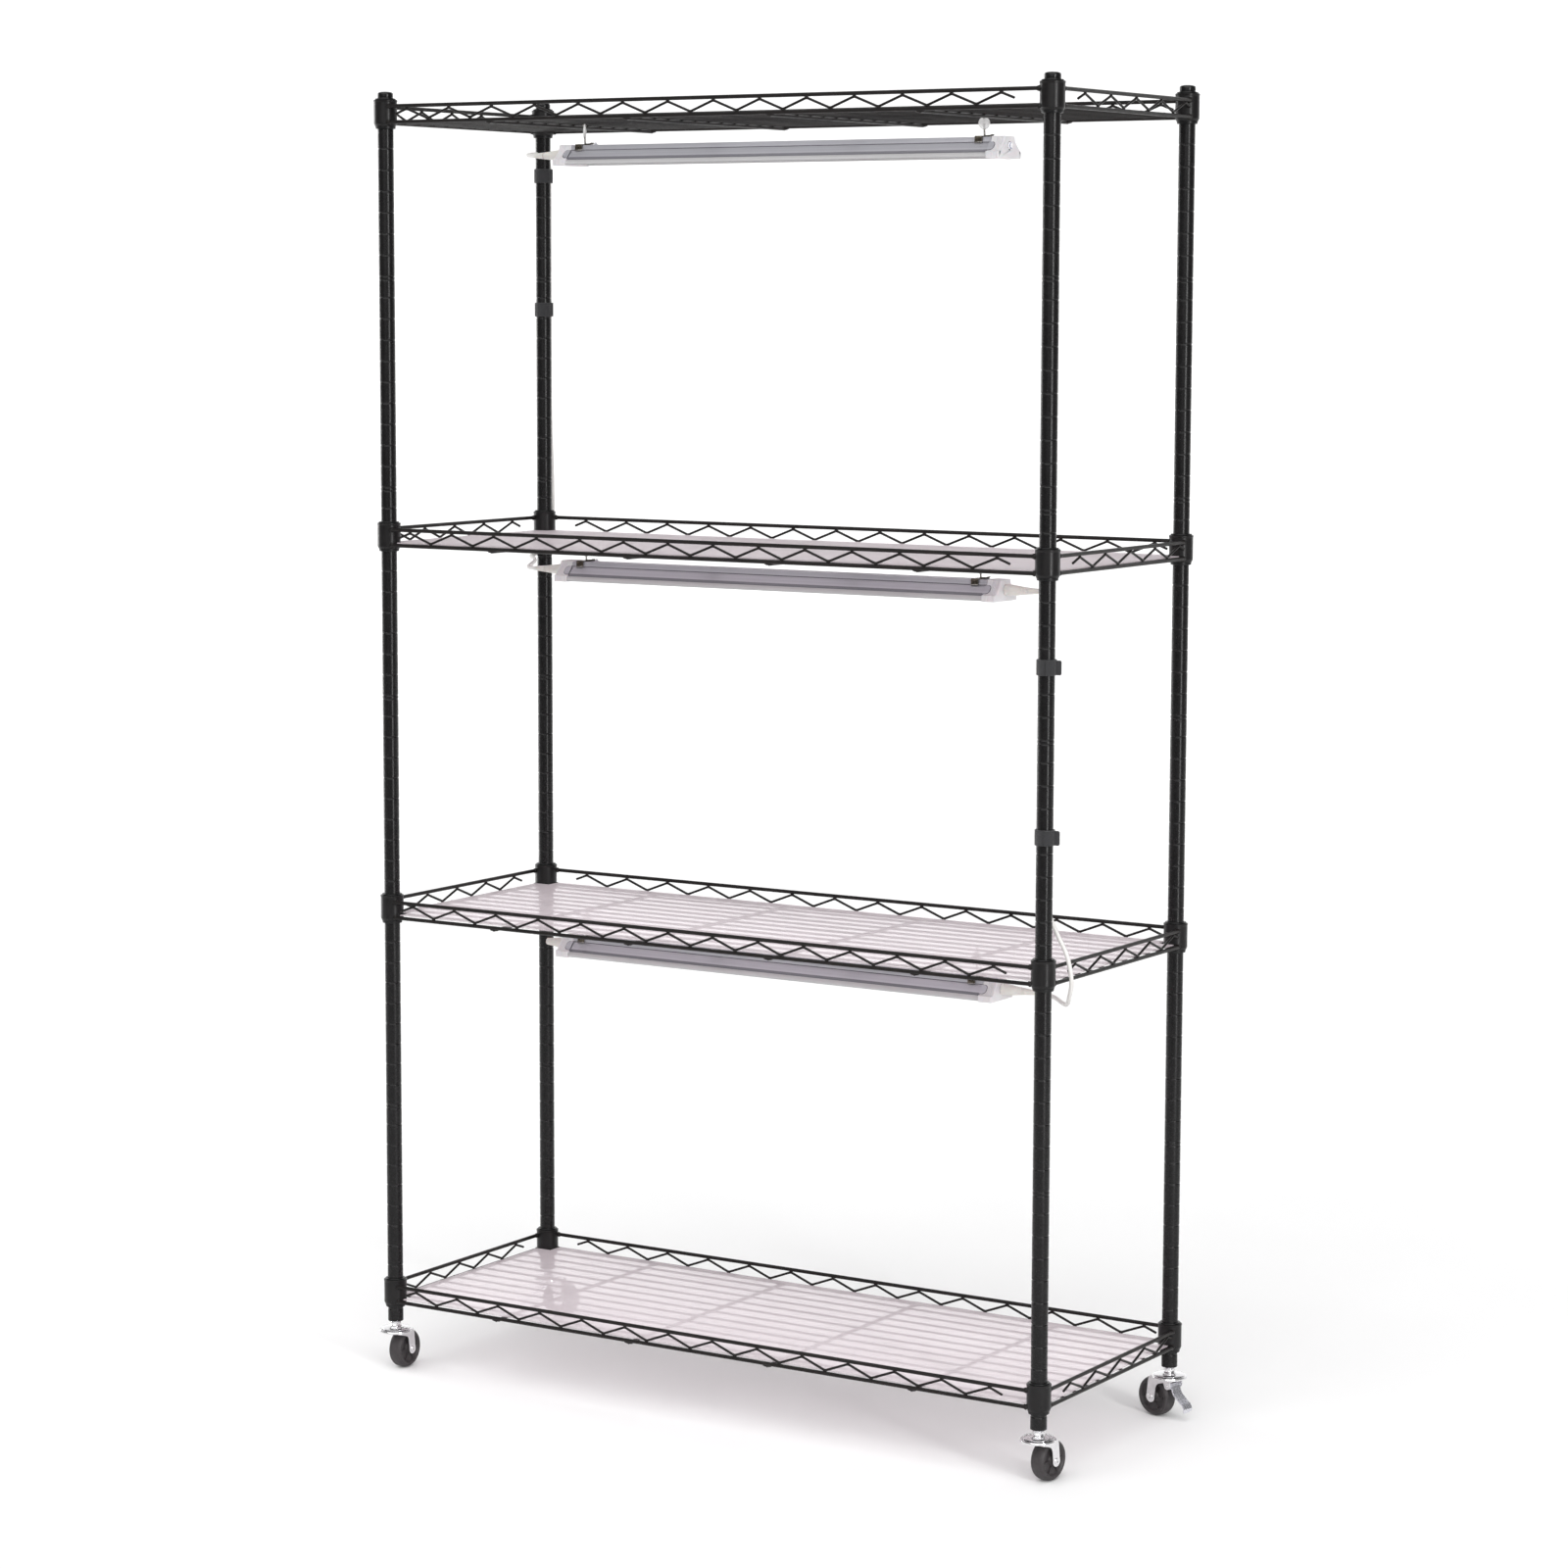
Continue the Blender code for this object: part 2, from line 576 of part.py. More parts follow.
def end_cap_mesh(side, with_button):
    """A moulded cap; the switched one has a bore for its button."""
    inner = LIGHT_X[side] - LIGHT_CAP_LENGTH if side else LIGHT_X[side] + LIGHT_CAP_LENGTH
    bm = bmesh.new()
    prism(bm, mirrored(END_CAP), sorted((inner, LIGHT_X[side])), "X")
    body = mesh_from("end_cap", bm)
    if not with_button:
        return body
    bore = bmesh.new()
    ends = (LIGHT_X[1] - BUTTON_DEPTH, LIGHT_X[1] + BUTTON_DEPTH)
    turned(bore, [(BUTTON_BORE_R, end) for end in ends], axis="X")
    bmesh.ops.translate(bore, verts=bore.verts, vec=(0, 0, BUTTON_Z))
    return combined("end_cap", [body, mesh_from("button_bore", bore)], "DIFFERENCE")


def button_mesh():
    """Modelled about its own slide axis, flush face at +X."""
    bm = bmesh.new()
    start, face = -BUTTON_DEPTH + BUTTON_TRAVEL + 2 * GAP, BUTTON_PROUD
    turned(bm, [(0, start), (BUTTON_R, start), (BUTTON_R, face - BUTTON_EDGE),
                (BUTTON_R - BUTTON_EDGE, face), (0, face)], axis="X")
    return mesh_from("switch_button", bm)


def hook_mesh(drop):
    """A steel clip on the channel with a wire hook over the middle mat wire."""
    wire_z = drop + mat_height()
    loop_r = MAT_WIRE_R + GAP * 1.5 + HOOK_WIRE_R
    inside, lip = HOOK_CLIP_HALF, HOOK_CLIP_LIP
    outside, top = inside + HOOK_CLIP_THICK, HOOK_CLIP_ABOVE + HOOK_CLIP_THICK
    band = [(-outside, lip), (-outside, top), (outside, top), (outside, lip), (inside, lip),
            (inside, HOOK_CLIP_ABOVE), (-inside, HOOK_CLIP_ABOVE), (-inside, lip)]
    clip = bmesh.new()
    prism(clip, band, (-HOOK_CLIP_WIDTH / 2, HOOK_CLIP_WIDTH / 2), "X")
    path = [(0, 0, (top + HOOK_CLIP_ABOVE) / 2), (0, 0, wire_z - loop_r * HOOK_NECK)]
    for degrees in HOOK_TURN:
        a = math.radians(degrees)
        path.append((0, loop_r * math.cos(a), wire_z + loop_r * math.sin(a)))
    wire = bmesh.new()
    bent_bar(wire, path, SQUARED * HOOK_WIRE_R, (1, 0, 0))
    return union("light_hook", [mesh_from("clip", clip), mesh_from("hook_wire", wire)])


def connector_mesh(side):
    """A tapered moulded connector on the light's end, pointing outwards."""
    s = 1 if side else -1
    start = LIGHT_X[side] + s * GAP
    end = start + s * CONNECTOR_LENGTH
    bm = bmesh.new()
    turned(bm, [(0, start), (CONNECTOR_R[0], start),
                (CONNECTOR_R[0] * CONNECTOR_WAIST[0],
                 start + s * CONNECTOR_LENGTH * CONNECTOR_WAIST[1]),
                (CONNECTOR_R[1], end), (0, end)], axis="X")
    return mesh_from("connector", bm)


def make_lights(mats):
    channel, tube = light_body_meshes()
    caps = [end_cap_mesh(0, False), end_cap_mesh(1, False)]
    switched = end_cap_mesh(1, True)
    connectors = [connector_mesh(0), connector_mesh(1)]
    wanted = {"top": (0,), "middle": (0, 1), "low": (0, 1)}
    tops = shelf_tops()
    for i, name in enumerate(LIGHT_NAMES):
        z = tops[i] - LIGHT_DROPS[i]
        add_object("light_channel_" + name, channel, mats["housing"], (0, 0, z), smooth=False)
        add_object("light_tube_" + name, tube, mats["tube"], (0, 0, z))
        for side, word in enumerate(("left", "right")):
            mesh = switched if name == "top" and side == 1 else caps[side]
            add_object(f"light_cap_{word}_{name}", mesh, mats["end_cap"], (0, 0, z), smooth=False)
            hook = hook_mesh(LIGHT_DROPS[i])
            add_object(f"light_hook_{word}_{name}", hook, mats["hook"], (HOOK_X[side], 0, z),
                       smooth=False)
            if side in wanted[name]:
                add_object(f"connector_{word}_{name}", connectors[side], mats["connector"],
                           (0, 0, z - CONNECTOR_DROP))
    z = tops[0] - LIGHT_DROPS[0] + BUTTON_Z
    add_object("switch_button", button_mesh(), mats["button"], (LIGHT_X[1], 0, z))


# ---- link cords and the straps that hold them ---------------------------


def smooth_curve(route, step):
    """Evenly spaced points on a centripetal Catmull-Rom curve through the route."""
    points = [Vector(p) for p in route]
    points = [points[0] * 2 - points[1]] + points + [points[-1] * 2 - points[-2]]
    fine = []
    for p0, p1, p2, p3 in zip(points, points[1:], points[2:], points[3:]):
        t = [0.0]
        for a, b in ((p0, p1), (p1, p2), (p2, p3)):
            t.append(t[-1] + (b - a).length ** 0.5)
        for i in range(24):
            u = t[1] + (t[2] - t[1]) * i / 24
            a1 = p0.lerp(p1, (u - t[0]) / (t[1] - t[0]))
            a2 = p1.lerp(p2, (u - t[1]) / (t[2] - t[1]))
            a3 = p2.lerp(p3, (u - t[2]) / (t[3] - t[2]))
            b1 = a1.lerp(a2, (u - t[0]) / (t[2] - t[0]))
            b2 = a2.lerp(a3, (u - t[1]) / (t[3] - t[1]))
            fine.append(b1.lerp(b2, (u - t[1]) / (t[2] - t[1])))
    fine.append(points[-2])
    reach = [0.0]
    for a, b in zip(fine, fine[1:]):
        reach.append(reach[-1] + (b - a).length)
    even, k = [], 0
    count = round(reach[-1] / step) + 1
    for i in range(count):
        goal = reach[-1] * i / (count - 1)
        while k < len(fine) - 2 and reach[k + 1] < goal:
            k += 1
        even.append(fine[k].lerp(fine[k + 1], (goal - reach[k]) / (reach[k + 1] - reach[k])))
    return even


def make_cord(name, route, mat):
    curve = bpy.data.curves.new(name, "CURVE")
    curve.dimensions = "3D"
    curve.bevel_depth = CORD_R
    curve.bevel_resolution = 2
    curve.use_fill_caps = True
    spline = curve.splines.new("POLY")
    points = smooth_curve(route, CORD_STEP)
    spline.points.add(len(points) - 1)
    for slot, point in zip(spline.points, points):
        slot.co = (*point, 1.0)
    curve.materials.append(mat)
    obj = bpy.data.objects.new(name, curve)
    bpy.context.scene.collection.objects.link(obj)


def band_outline(post_r, cord_r, apart, steps=6):
    """The belt line round the post and the cord, with the cord along +X."""
    lean = math.acos((post_r - cord_r) / apart)
    points = []
    for i in range(steps + 1):
        a = -lean + 2 * lean * i / steps
        points.append((apart + cord_r * math.cos(a), cord_r * math.sin(a)))
    wide = 2 * math.pi - 2 * lean
    for i in range(2 * steps + 1):
        a = lean + wide * i / (2 * steps)
        points.append((post_r * math.cos(a), post_r * math.sin(a)))
    return points


def make_strap(name, corner, z, cord_at, tail_turn, mat):
    sx, sy = CORNERS[corner]
    centre = Vector((sx * POST_X, sy * POST_Y, z))
    towards = Vector((cord_at[0] - centre.x, cord_at[1] - centre.y))
    turn = math.atan2(towards.y, towards.x)
    post_r, cord_r = POST_R + STRAP_SLACK, CORD_R + STRAP_SLACK
    ends = (-STRAP_HEIGHT / 2, STRAP_HEIGHT / 2)
    inner = band_outline(post_r, cord_r, towards.length)
    outer = band_outline(post_r + STRAP_THICK, cord_r + STRAP_THICK, towards.length)
    ring = bmesh.new()
    loops = []
    for outline, height in ((outer, ends[0]), (outer, ends[1]), (inner, ends[1]),
                            (inner, ends[0])):
        loops.append([ring.verts.new((x, y, height)) for x, y in outline])
    for low, high in zip(loops, loops[1:] + loops[:1]):
        bridge(ring, low, high)
    bmesh.ops.rotate(ring, verts=ring.verts, matrix=Matrix.Rotation(turn, 3, "Z"))
    tail = bmesh.new()
    start = post_r + STRAP_THICK / 2
    length, one_side, other_side = STRAP_TAIL
    box(tail, (start, -one_side, ends[0] + STRAP_TAIL_EDGE),
        (start + length, other_side, ends[1] - STRAP_TAIL_EDGE))
    bmesh.ops.rotate(tail, verts=tail.verts,
                     matrix=Matrix.Rotation(math.radians(tail_turn), 3, "Z"))
    mesh = union("strap", [mesh_from("ring", ring), mesh_from("tail", tail)])
    add_object(name, mesh, mat, centre, smooth=False)


def make_cords(mats):
    make_cord("link_cord_upper", LINK_CORD_UPPER, mats["cord"])
    make_cord("link_cord_lower", LINK_CORD_LOWER, mats["cord"])
    for name, (corner, z, cord_at, tail_turn) in STRAPS.items():
        make_strap(name, corner, z, cord_at, tail_turn, mats["strap"])


# ---- casters; +X is the way the wheel trails ----------------------------
def stem_mesh():
    """Stem in the post, neck, upper race and the kingpin that holds the yoke."""
    race = YOKE_TOP + RACE_GAP
    head = YOKE_TOP - YOKE_DISC - RACE_GAP
    head_r, head_thick = KINGPIN_HEAD
    stem_top = POST_BOTTOM + STEM_LENGTH
    profile = [
        (0, head - head_thick), (head_r, head - head_thick), (head_r, head),
        (KINGPIN_R, head), (KINGPIN_R, race), (RACE_R, race), (RACE_R, race + RACE_EDGE),
        (RACE_CROWN_R, race + RACE_THICK), (NECK_R, race + RACE_THICK + RACE_GAP),
        (NECK_R, POST_BOTTOM + RACE_EDGE), (STEM_R, POST_BOTTOM + 2 * RACE_EDGE),
        (STEM_R, stem_top), (0, stem_top),
    ]
    bm = bmesh.new()
    turned(bm, profile)
    return mesh_from("caster_stem", bm)


def arc(centre, radius, start, end, steps):
    points = []
    for i in range(steps + 1):
        a = math.radians(start + (end - start) * i / steps)
        points.append((centre[0] + radius * math.cos(a), centre[1] + radius * math.sin(a)))
    return points


def cheek_outline(braked):
    """Side view of one yoke leg, from the disc down to the axle."""
    at_disc, hind_corner = CHEEK_TOP
    outline = [(trail, YOKE_TOP - YOKE_DISC / 3) for trail in at_disc] + [hind_corner]
    outline += arc((TRAIL, WHEEL_R), AXLE_BOSS_R, 10, -190, 6)
    outline += CHEEK_FRONT
    return outline + (arc(BRAKE_PIVOT, BRAKE_BOSS_R, -20, -160, 3) if braked else [CHEEK_NOSE])


def cross_pin(name, radius, reach, at):
    bm = bmesh.new()
    turned(bm, [(radius, -reach), (radius, reach)], sides=PIN_SIDES, axis="Y")
    bmesh.ops.translate(bm, verts=bm.verts, vec=(at[0], 0, at[1]))
    return mesh_from(name, bm)


def yoke_mesh(braked):
    disc = bmesh.new()
    bottom = YOKE_TOP - YOKE_DISC
    turned(disc, [(KINGPIN_R + GAP, bottom), (YOKE_R, bottom), (YOKE_R, YOKE_TOP - YOKE_EDGE),
                  (YOKE_R - YOKE_EDGE, YOKE_TOP), (KINGPIN_R + GAP, YOKE_TOP)], closed=True)
    cheeks = bmesh.new()
    outside = CHEEK_INSIDE + CHEEK_THICK
    for s in (-1, 1):
        prism(cheeks, cheek_outline(braked), sorted((s * CHEEK_INSIDE, s * outside)), "Y")
    meshes = [mesh_from("disc", disc), mesh_from("cheeks", cheeks)]
    axle_end, pin_end = (outside + proud for proud in RIVET_PROUD)
    meshes.append(cross_pin("axle", AXLE_R, axle_end, (TRAIL, WHEEL_R)))
    if braked:
        meshes.append(cross_pin("brake_pin", BRAKE_PIN_R, pin_end, BRAKE_PIVOT))
    return union("caster_yoke", meshes)


def wheel_mesh():
    """Turned about Y, with a flat side of the tread at the bottom."""
    full = 1 / math.cos(math.pi / WHEEL_SIDES)
    half = WHEEL_WIDTH / 2
    right = [(AXLE_R + HUB_CLEARANCE, half)]
    right += [(radius, half - inside) for radius, inside in WHEEL_DISH]
    right.append((WHEEL_R * full, half - WHEEL_SHOULDER))
    profile = right + [(r, -h) for r, h in reversed(right)]
    bm = bmesh.new()
    turned(bm, profile, sides=WHEEL_SIDES, axis="Y", closed=True)
    return mesh_from("caster_wheel", bm)


def plate_mesh(name, path, half):
    """A bent strip of plate along (trail, height) points, level across."""
    half_thick, half_wide = half
    bm = bmesh.new()
    bent_bar(bm, [(trail, 0, height) for trail, height in path], half_thick, (0, 1, 0))
    for vert in bm.verts:
        vert.co.y *= half_wide / half_thick
    return mesh_from(name, bm)


def lever_mesh():
    """A pressed brake pedal: a barrel on its pin, a shoe and a curled tread."""
    width, bore = CHEEK_INSIDE - GAP, BRAKE_PIN_R + GAP
    barrel = bmesh.new()
    turned(barrel, [(bore, -width), (BARREL_R, -width), (BARREL_R, width), (bore, width)],
           axis="Y", closed=True)
    return union("brake_lever", [
        mesh_from("barrel", barrel), plate_mesh("pedal", PEDAL, PEDAL_HALF),
        plate_mesh("shoe", SHOE, SHOE_HALF),
    ])


def make_casters(mats):
    stem, wheel, lever = stem_mesh(), wheel_mesh(), lever_mesh()
    yokes = {False: yoke_mesh(False), True: yoke_mesh(True)}
    for corner, (sx, sy) in CORNERS.items():
        turn = math.radians(TRAIL_TURN[corner])
        post = Vector((sx * POST_X, sy * POST_Y, 0))
        along = Vector((math.cos(turn), math.sin(turn), 0))
        braked = corner in BRAKED
        add_object("caster_stem_" + corner, stem, mats["zinc"], post)
        add_object("caster_yoke_" + corner, yokes[braked], mats["zinc"], post, turn)
        hub = post + along * TRAIL + Vector((0, 0, WHEEL_R))
        add_object("caster_wheel_" + corner, wheel, mats["tyre"], hub, turn)
        if braked:
            pivot = post + along * BRAKE_PIVOT[0] + Vector((0, 0, BRAKE_PIVOT[1]))
            add_object("brake_lever_" + corner, lever, mats["lever"], pivot, turn)


def build():
    for obj in list(bpy.data.objects):
        bpy.data.objects.remove(obj, do_unlink=True)
    mats = make_materials()
    make_posts(mats)
    make_caps(mats)
    make_shelves(mats)
    make_liners(mats)
    make_lights(mats)
    make_cords(mats)
    make_casters(mats)


build()
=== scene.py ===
import math
import random

import bmesh
import bpy
from mathutils import Matrix, Vector, noise

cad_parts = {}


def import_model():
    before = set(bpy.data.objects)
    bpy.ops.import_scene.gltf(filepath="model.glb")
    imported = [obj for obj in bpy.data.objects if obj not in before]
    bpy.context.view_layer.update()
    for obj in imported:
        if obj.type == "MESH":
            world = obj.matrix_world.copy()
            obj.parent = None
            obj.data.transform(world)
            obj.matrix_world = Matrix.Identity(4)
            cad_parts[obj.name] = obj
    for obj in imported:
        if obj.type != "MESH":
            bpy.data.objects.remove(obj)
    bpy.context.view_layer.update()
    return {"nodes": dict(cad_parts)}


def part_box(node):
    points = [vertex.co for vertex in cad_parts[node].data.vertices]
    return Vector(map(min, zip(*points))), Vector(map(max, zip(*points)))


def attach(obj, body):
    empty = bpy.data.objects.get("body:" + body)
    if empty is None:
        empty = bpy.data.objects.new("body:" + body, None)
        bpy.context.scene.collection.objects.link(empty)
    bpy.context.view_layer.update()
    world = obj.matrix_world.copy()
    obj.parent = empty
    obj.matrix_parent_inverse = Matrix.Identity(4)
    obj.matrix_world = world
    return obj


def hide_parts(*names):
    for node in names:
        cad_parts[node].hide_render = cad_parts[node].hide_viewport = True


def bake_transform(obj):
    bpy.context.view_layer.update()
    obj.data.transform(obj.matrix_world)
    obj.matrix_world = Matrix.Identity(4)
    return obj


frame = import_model()

CORNERS = ("front_left", "front_right", "back_right", "back_left")
SHELVES = ("top", "upper", "lower", "bottom")
LIGHTS = ("top", "middle", "low")
SIDES = ("left", "right")

# ---- places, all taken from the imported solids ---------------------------


def middle(node):
    low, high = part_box(node)
    return (low + high) / 2


POSTS = {c: Vector((middle("post_" + c).x, middle("post_" + c).y, 0)) for c in CORNERS}
POST_X = abs(POSTS["front_right"].x)
POST_Y = abs(POSTS["front_right"].y)
SHELF_TOP = {s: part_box("shelf_" + s)[1].z for s in SHELVES}
LIGHT_TOP = {n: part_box("light_channel_" + n)[1].z for n in LIGHTS}
POST_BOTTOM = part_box("post_front_left")[0].z
POST_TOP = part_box("post_front_left")[1].z
CAP_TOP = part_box("cap_front_left")[1].z

# ---- the rack's sizes, as in the part's source --------------------------
GROOVE_PITCH = 0.0254
GROOVE_TOP = 1.5054
POST_R = 0.0095
COLLAR_R = 0.01425
COLLAR_HEIGHT = 0.0315
RAIL_OUT = 0.009
RAIL_R = 0.0023
TOP_RAIL = -0.008
BOTTOM_RAIL = -0.027
TRUSS_R = 0.0015
MAT_WIRE_R = 0.0014
MAT_Z = -0.0265
SUPPORT_R = 0.0020
SUPPORT_Z = -0.02986
CORD_R = 0.0025

# ---- the camera ---------------------------------------------------------


def make_camera():
    data = bpy.data.cameras.new("camera")
    data.sensor_width = 36.0
    data.lens = 93.7
    camera = bpy.data.objects.new("camera", data)
    camera.location = (2.6007, -4.1107, 1.3315)
    turn = Matrix.Rotation(0.5621, 3, "Z") @ Matrix.Rotation(math.pi / 2 - 0.1191, 3, "X")
    turn = turn @ Matrix.Rotation(0.0029, 3, "Z")
    camera.rotation_euler = turn.to_euler()
    data.clip_start, data.clip_end = 0.05, 60.0
    bpy.context.scene.collection.objects.link(camera)
    bpy.context.scene.camera = camera


make_camera()

# ---- mesh helpers -------------------------------------------------------


class Shape:
    """Collects vertices and faces, then becomes one mesh object."""

    def __init__(self):
        self.verts, self.faces, self.slots = [], [], []
        self.slot = 0

    def add(self, verts, faces):
        base = len(self.verts)
        self.verts += [tuple(v) for v in verts]
        self.faces += [[base + i for i in f] for f in faces]
        self.slots += [self.slot] * len(faces)

    def mesh(self, name, mats, sharp=35):
        mesh = bpy.data.meshes.new(name)
        mesh.from_pydata(self.verts, [], self.faces)
        for mat in mats:
            mesh.materials.append(mat)
        mesh.polygons.foreach_set("material_index", self.slots)
        bm = bmesh.new()
        bm.from_mesh(mesh)
        bmesh.ops.remove_doubles(bm, verts=bm.verts, dist=1e-7)
        bmesh.ops.recalc_face_normals(bm, faces=bm.faces)
        bm.to_mesh(mesh)
        bm.free()
        mesh.shade_smooth()
        mesh.set_sharp_from_angle(angle=math.radians(sharp))
        return mesh


def place(name, mesh, body, at=(0, 0, 0), turn=0.0, replaces=()):
    obj = bpy.data.objects.new(name, mesh)
    obj.location = at
    obj.rotation_euler = (0, 0, turn)
    bpy.context.scene.collection.objects.link(obj)
    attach(obj, body)
    if replaces:
        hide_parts(*replaces)
    return obj


def bevel(obj, width, segments=2, angle=30):
    mod = obj.modifiers.new("bevel", "BEVEL")
    mod.width = width
    mod.segments = segments
    mod.limit_method = "ANGLE"
    mod.angle_limit = math.radians(angle)
    mod.harden_normals = True
    return obj


def axis_point(axis, a, b, along):
    return {"Z": (a, b, along), "Y": (a, along, b), "X": (along, a, b)}[axis]


def supported(profile, closed):
    """Adds points close to both ends of long straight runs, to keep shading flat there."""
    close, out = 0.0003, []
    pairs = list(zip(profile, profile[1:])) + ([(profile[-1], profile[0])] if closed else [])
    for (r0, h0), (r1, h1) in pairs:
        out.append((r0, h0))
        reach = math.hypot(r1 - r0, h1 - h0)
        if reach > 0.0022 and min(r0, r1) > 0.001:
            for share in (close / reach, 1 - close / reach):
                out.append((r0 + (r1 - r0) * share, h0 + (h1 - h0) * share))
    return out if closed else out + [profile[-1]]


def lathe(shape, profile, sides=32, axis="Z", at=(0, 0, 0), closed=False):
    """Turns (radius, height) points round an axis through a place."""
    profile = supported(profile, closed)
    verts, rings = [], []
    for radius, height in profile:
        count = 1 if radius < 1e-7 else sides
        ring = []
        for i in range(count):
            a = 2 * math.pi * i / sides
            p = axis_point(axis, radius * math.cos(a), radius * math.sin(a), height)
            ring.append(len(verts))
            verts.append((p[0] + at[0], p[1] + at[1], p[2] + at[2]))
        rings.append(ring)
    faces = []
    pairs = list(zip(rings, rings[1:])) + ([(rings[-1], rings[0])] if closed else [])
    for low, high in pairs:
        for i in range(sides):
            j = (i + 1) % sides
            face = [low[i % len(low)], low[j % len(low)],
                    high[j % len(high)], high[i % len(high)]]
            face = list(dict.fromkeys(face))
            if len(face) > 2:
                faces.append(face)
    if not closed:
        faces += [ring for ring in (rings[0], rings[-1]) if len(ring) > 2]
    shape.add(verts, faces)


def frames_along(points):
    """Unit directions and two normals at each point, without twist."""
    ways = []
    for i in range(len(points)):
        a, b = points[max(i - 1, 0)], points[min(i + 1, len(points) - 1)]
        ways.append((b - a).normalized())
    up = Vector((0, 0, 1)) if abs(ways[0].z) < 0.9 else Vector((1, 0, 0))
    side = ways[0].cross(up).normalized()
    found = []
    for way in ways:
        side = (side - way * side.dot(way)).normalized()
        found.append((way, side, way.cross(side)))
    return found


def tube(shape, points, radius, sides=12, round_ends=True, closed=False):
    """A round wire; radius is one number or one for each point."""
    points = [Vector(p) for p in points]
    radii = list(radius) if hasattr(radius, "__len__") else [radius] * len(points)
    frames = frames_along(points)
    if closed:
        frames = closed_frames(points)
    rows = list(zip(points, radii, frames))
    if round_ends and not closed:
        first, last = rows[0], rows[-1]
        cap_a, cap_b = [], []
        for s in (1.0, 0.8, 0.4):
            reach = math.sqrt(1 - s * s)
            cap_a.append((first[0] - first[2][0] * first[1] * s * 0.55,
                          max(first[1] * reach, 1e-5), first[2]))
            cap_b.append((last[0] + last[2][0] * last[1] * s * 0.55,
                          max(last[1] * reach, 1e-5), last[2]))
        rows = cap_a + rows + cap_b[::-1]
    verts = []
    for point, r, (_, side, other) in rows:
        for i in range(sides):
            a = 2 * math.pi * i / sides
            verts.append(point + side * r * math.cos(a) + other * r * math.sin(a))
    faces = []
    count = len(rows)
    for k in range(count if closed else count - 1):
        m = (k + 1) % count
        for i in range(sides):
            j = (i + 1) % sides
            faces.append([k * sides + i, k * sides + j, m * sides + j, m * sides + i])
    if not closed:
        faces.append(list(range(sides)))
        faces.append([(count - 1) * sides + i for i in range(sides)])
    shape.add(verts, faces)


def closed_frames(points):
    found = []
    count = len(points)
    centre = sum(points, Vector()) / count
    for i in range(count):
        way = (points[(i + 1) % count] - points[i - 1]).normalized()
        side = (points[i] - centre).normalized()
        side = (side - way * side.dot(way)).normalized()
        found.append((way, side, way.cross(side)))
    return found


def extrude(shape, outline, ends, axis="X", at=(0, 0, 0)):
    """A prism of an outline between two places along an axis."""
    count = len(outline)
    verts = []
    for end in ends:
        for a, b in outline:
            p = axis_point(axis, a, b, end)
            verts.append((p[0] + at[0], p[1] + at[1], p[2] + at[2]))
    faces = [[i, (i + 1) % count, count + (i + 1) % count, count + i] for i in range(count)]
    faces += [list(range(count)), list(range(count, 2 * count))]
    shape.add(verts, faces)


def mirrored(half):
    return half + [(-a, b) for a, b in reversed(half)]


def blob(shape, at, radii, rings=6, sides=12, rough=0.0, seed=0.0):
    """A rounded lump, a little uneven if rough isn't 0."""
    at = Vector(at)
    verts, faces = [], []
    verts.append((0, 0, 1))
    for k in range(1, rings):
        polar = math.pi * k / rings
        for i in range(sides):
            a = 2 * math.pi * i / sides
            verts.append((math.sin(polar) * math.cos(a), math.sin(polar) * math.sin(a),
                          math.cos(polar)))
    verts.append((0, 0, -1))
    last = len(verts) - 1
    for i in range(sides):
        j = (i + 1) % sides
        faces.append([0, 1 + i, 1 + j])
        for k in range(rings - 2):
            base = 1 + k * sides
            faces.append([base + i, base + sides + i, base + sides + j, base + j])
        base = 1 + (rings - 2) * sides
        faces.append([base + i, last, base + j])
    moved = []
    for v in verts:
        v = Vector(v)
        grow = 1 + rough * noise.noise(v * 2.3 + at * 91 + Vector((seed, 0, 0)))
        moved.append(at + Vector((v.x * radii[0], v.y * radii[1], v.z * radii[2])) * grow)
    shape.add(moved, faces)


def arc(centre, radius, start, end, steps):
    points = []
    for i in range(steps + 1):
        a = math.radians(start + (end - start) * i / steps)
        points.append((centre[0] + radius * math.cos(a), centre[1] + radius * math.sin(a)))
    return points


def rounded_path(points, radius, steps=4):
    """Corners of a path turned into short arcs (quadratic curves)."""
    points = [Vector(p) for p in points]
    out = [points[0]]
    for a, b, c in zip(points, points[1:], points[2:]):
        cut = min(radius, (b - a).length * 0.45, (c - b).length * 0.45)
        start, end = b + (a - b).normalized() * cut, b + (c - b).normalized() * cut
        for i in range(steps + 1):
            t = i / steps
            out.append(start * (1 - t) ** 2 + b * 2 * t * (1 - t) + end * t * t)
    out.append(points[-1])
    return out


# ---- materials ----------------------------------------------------------


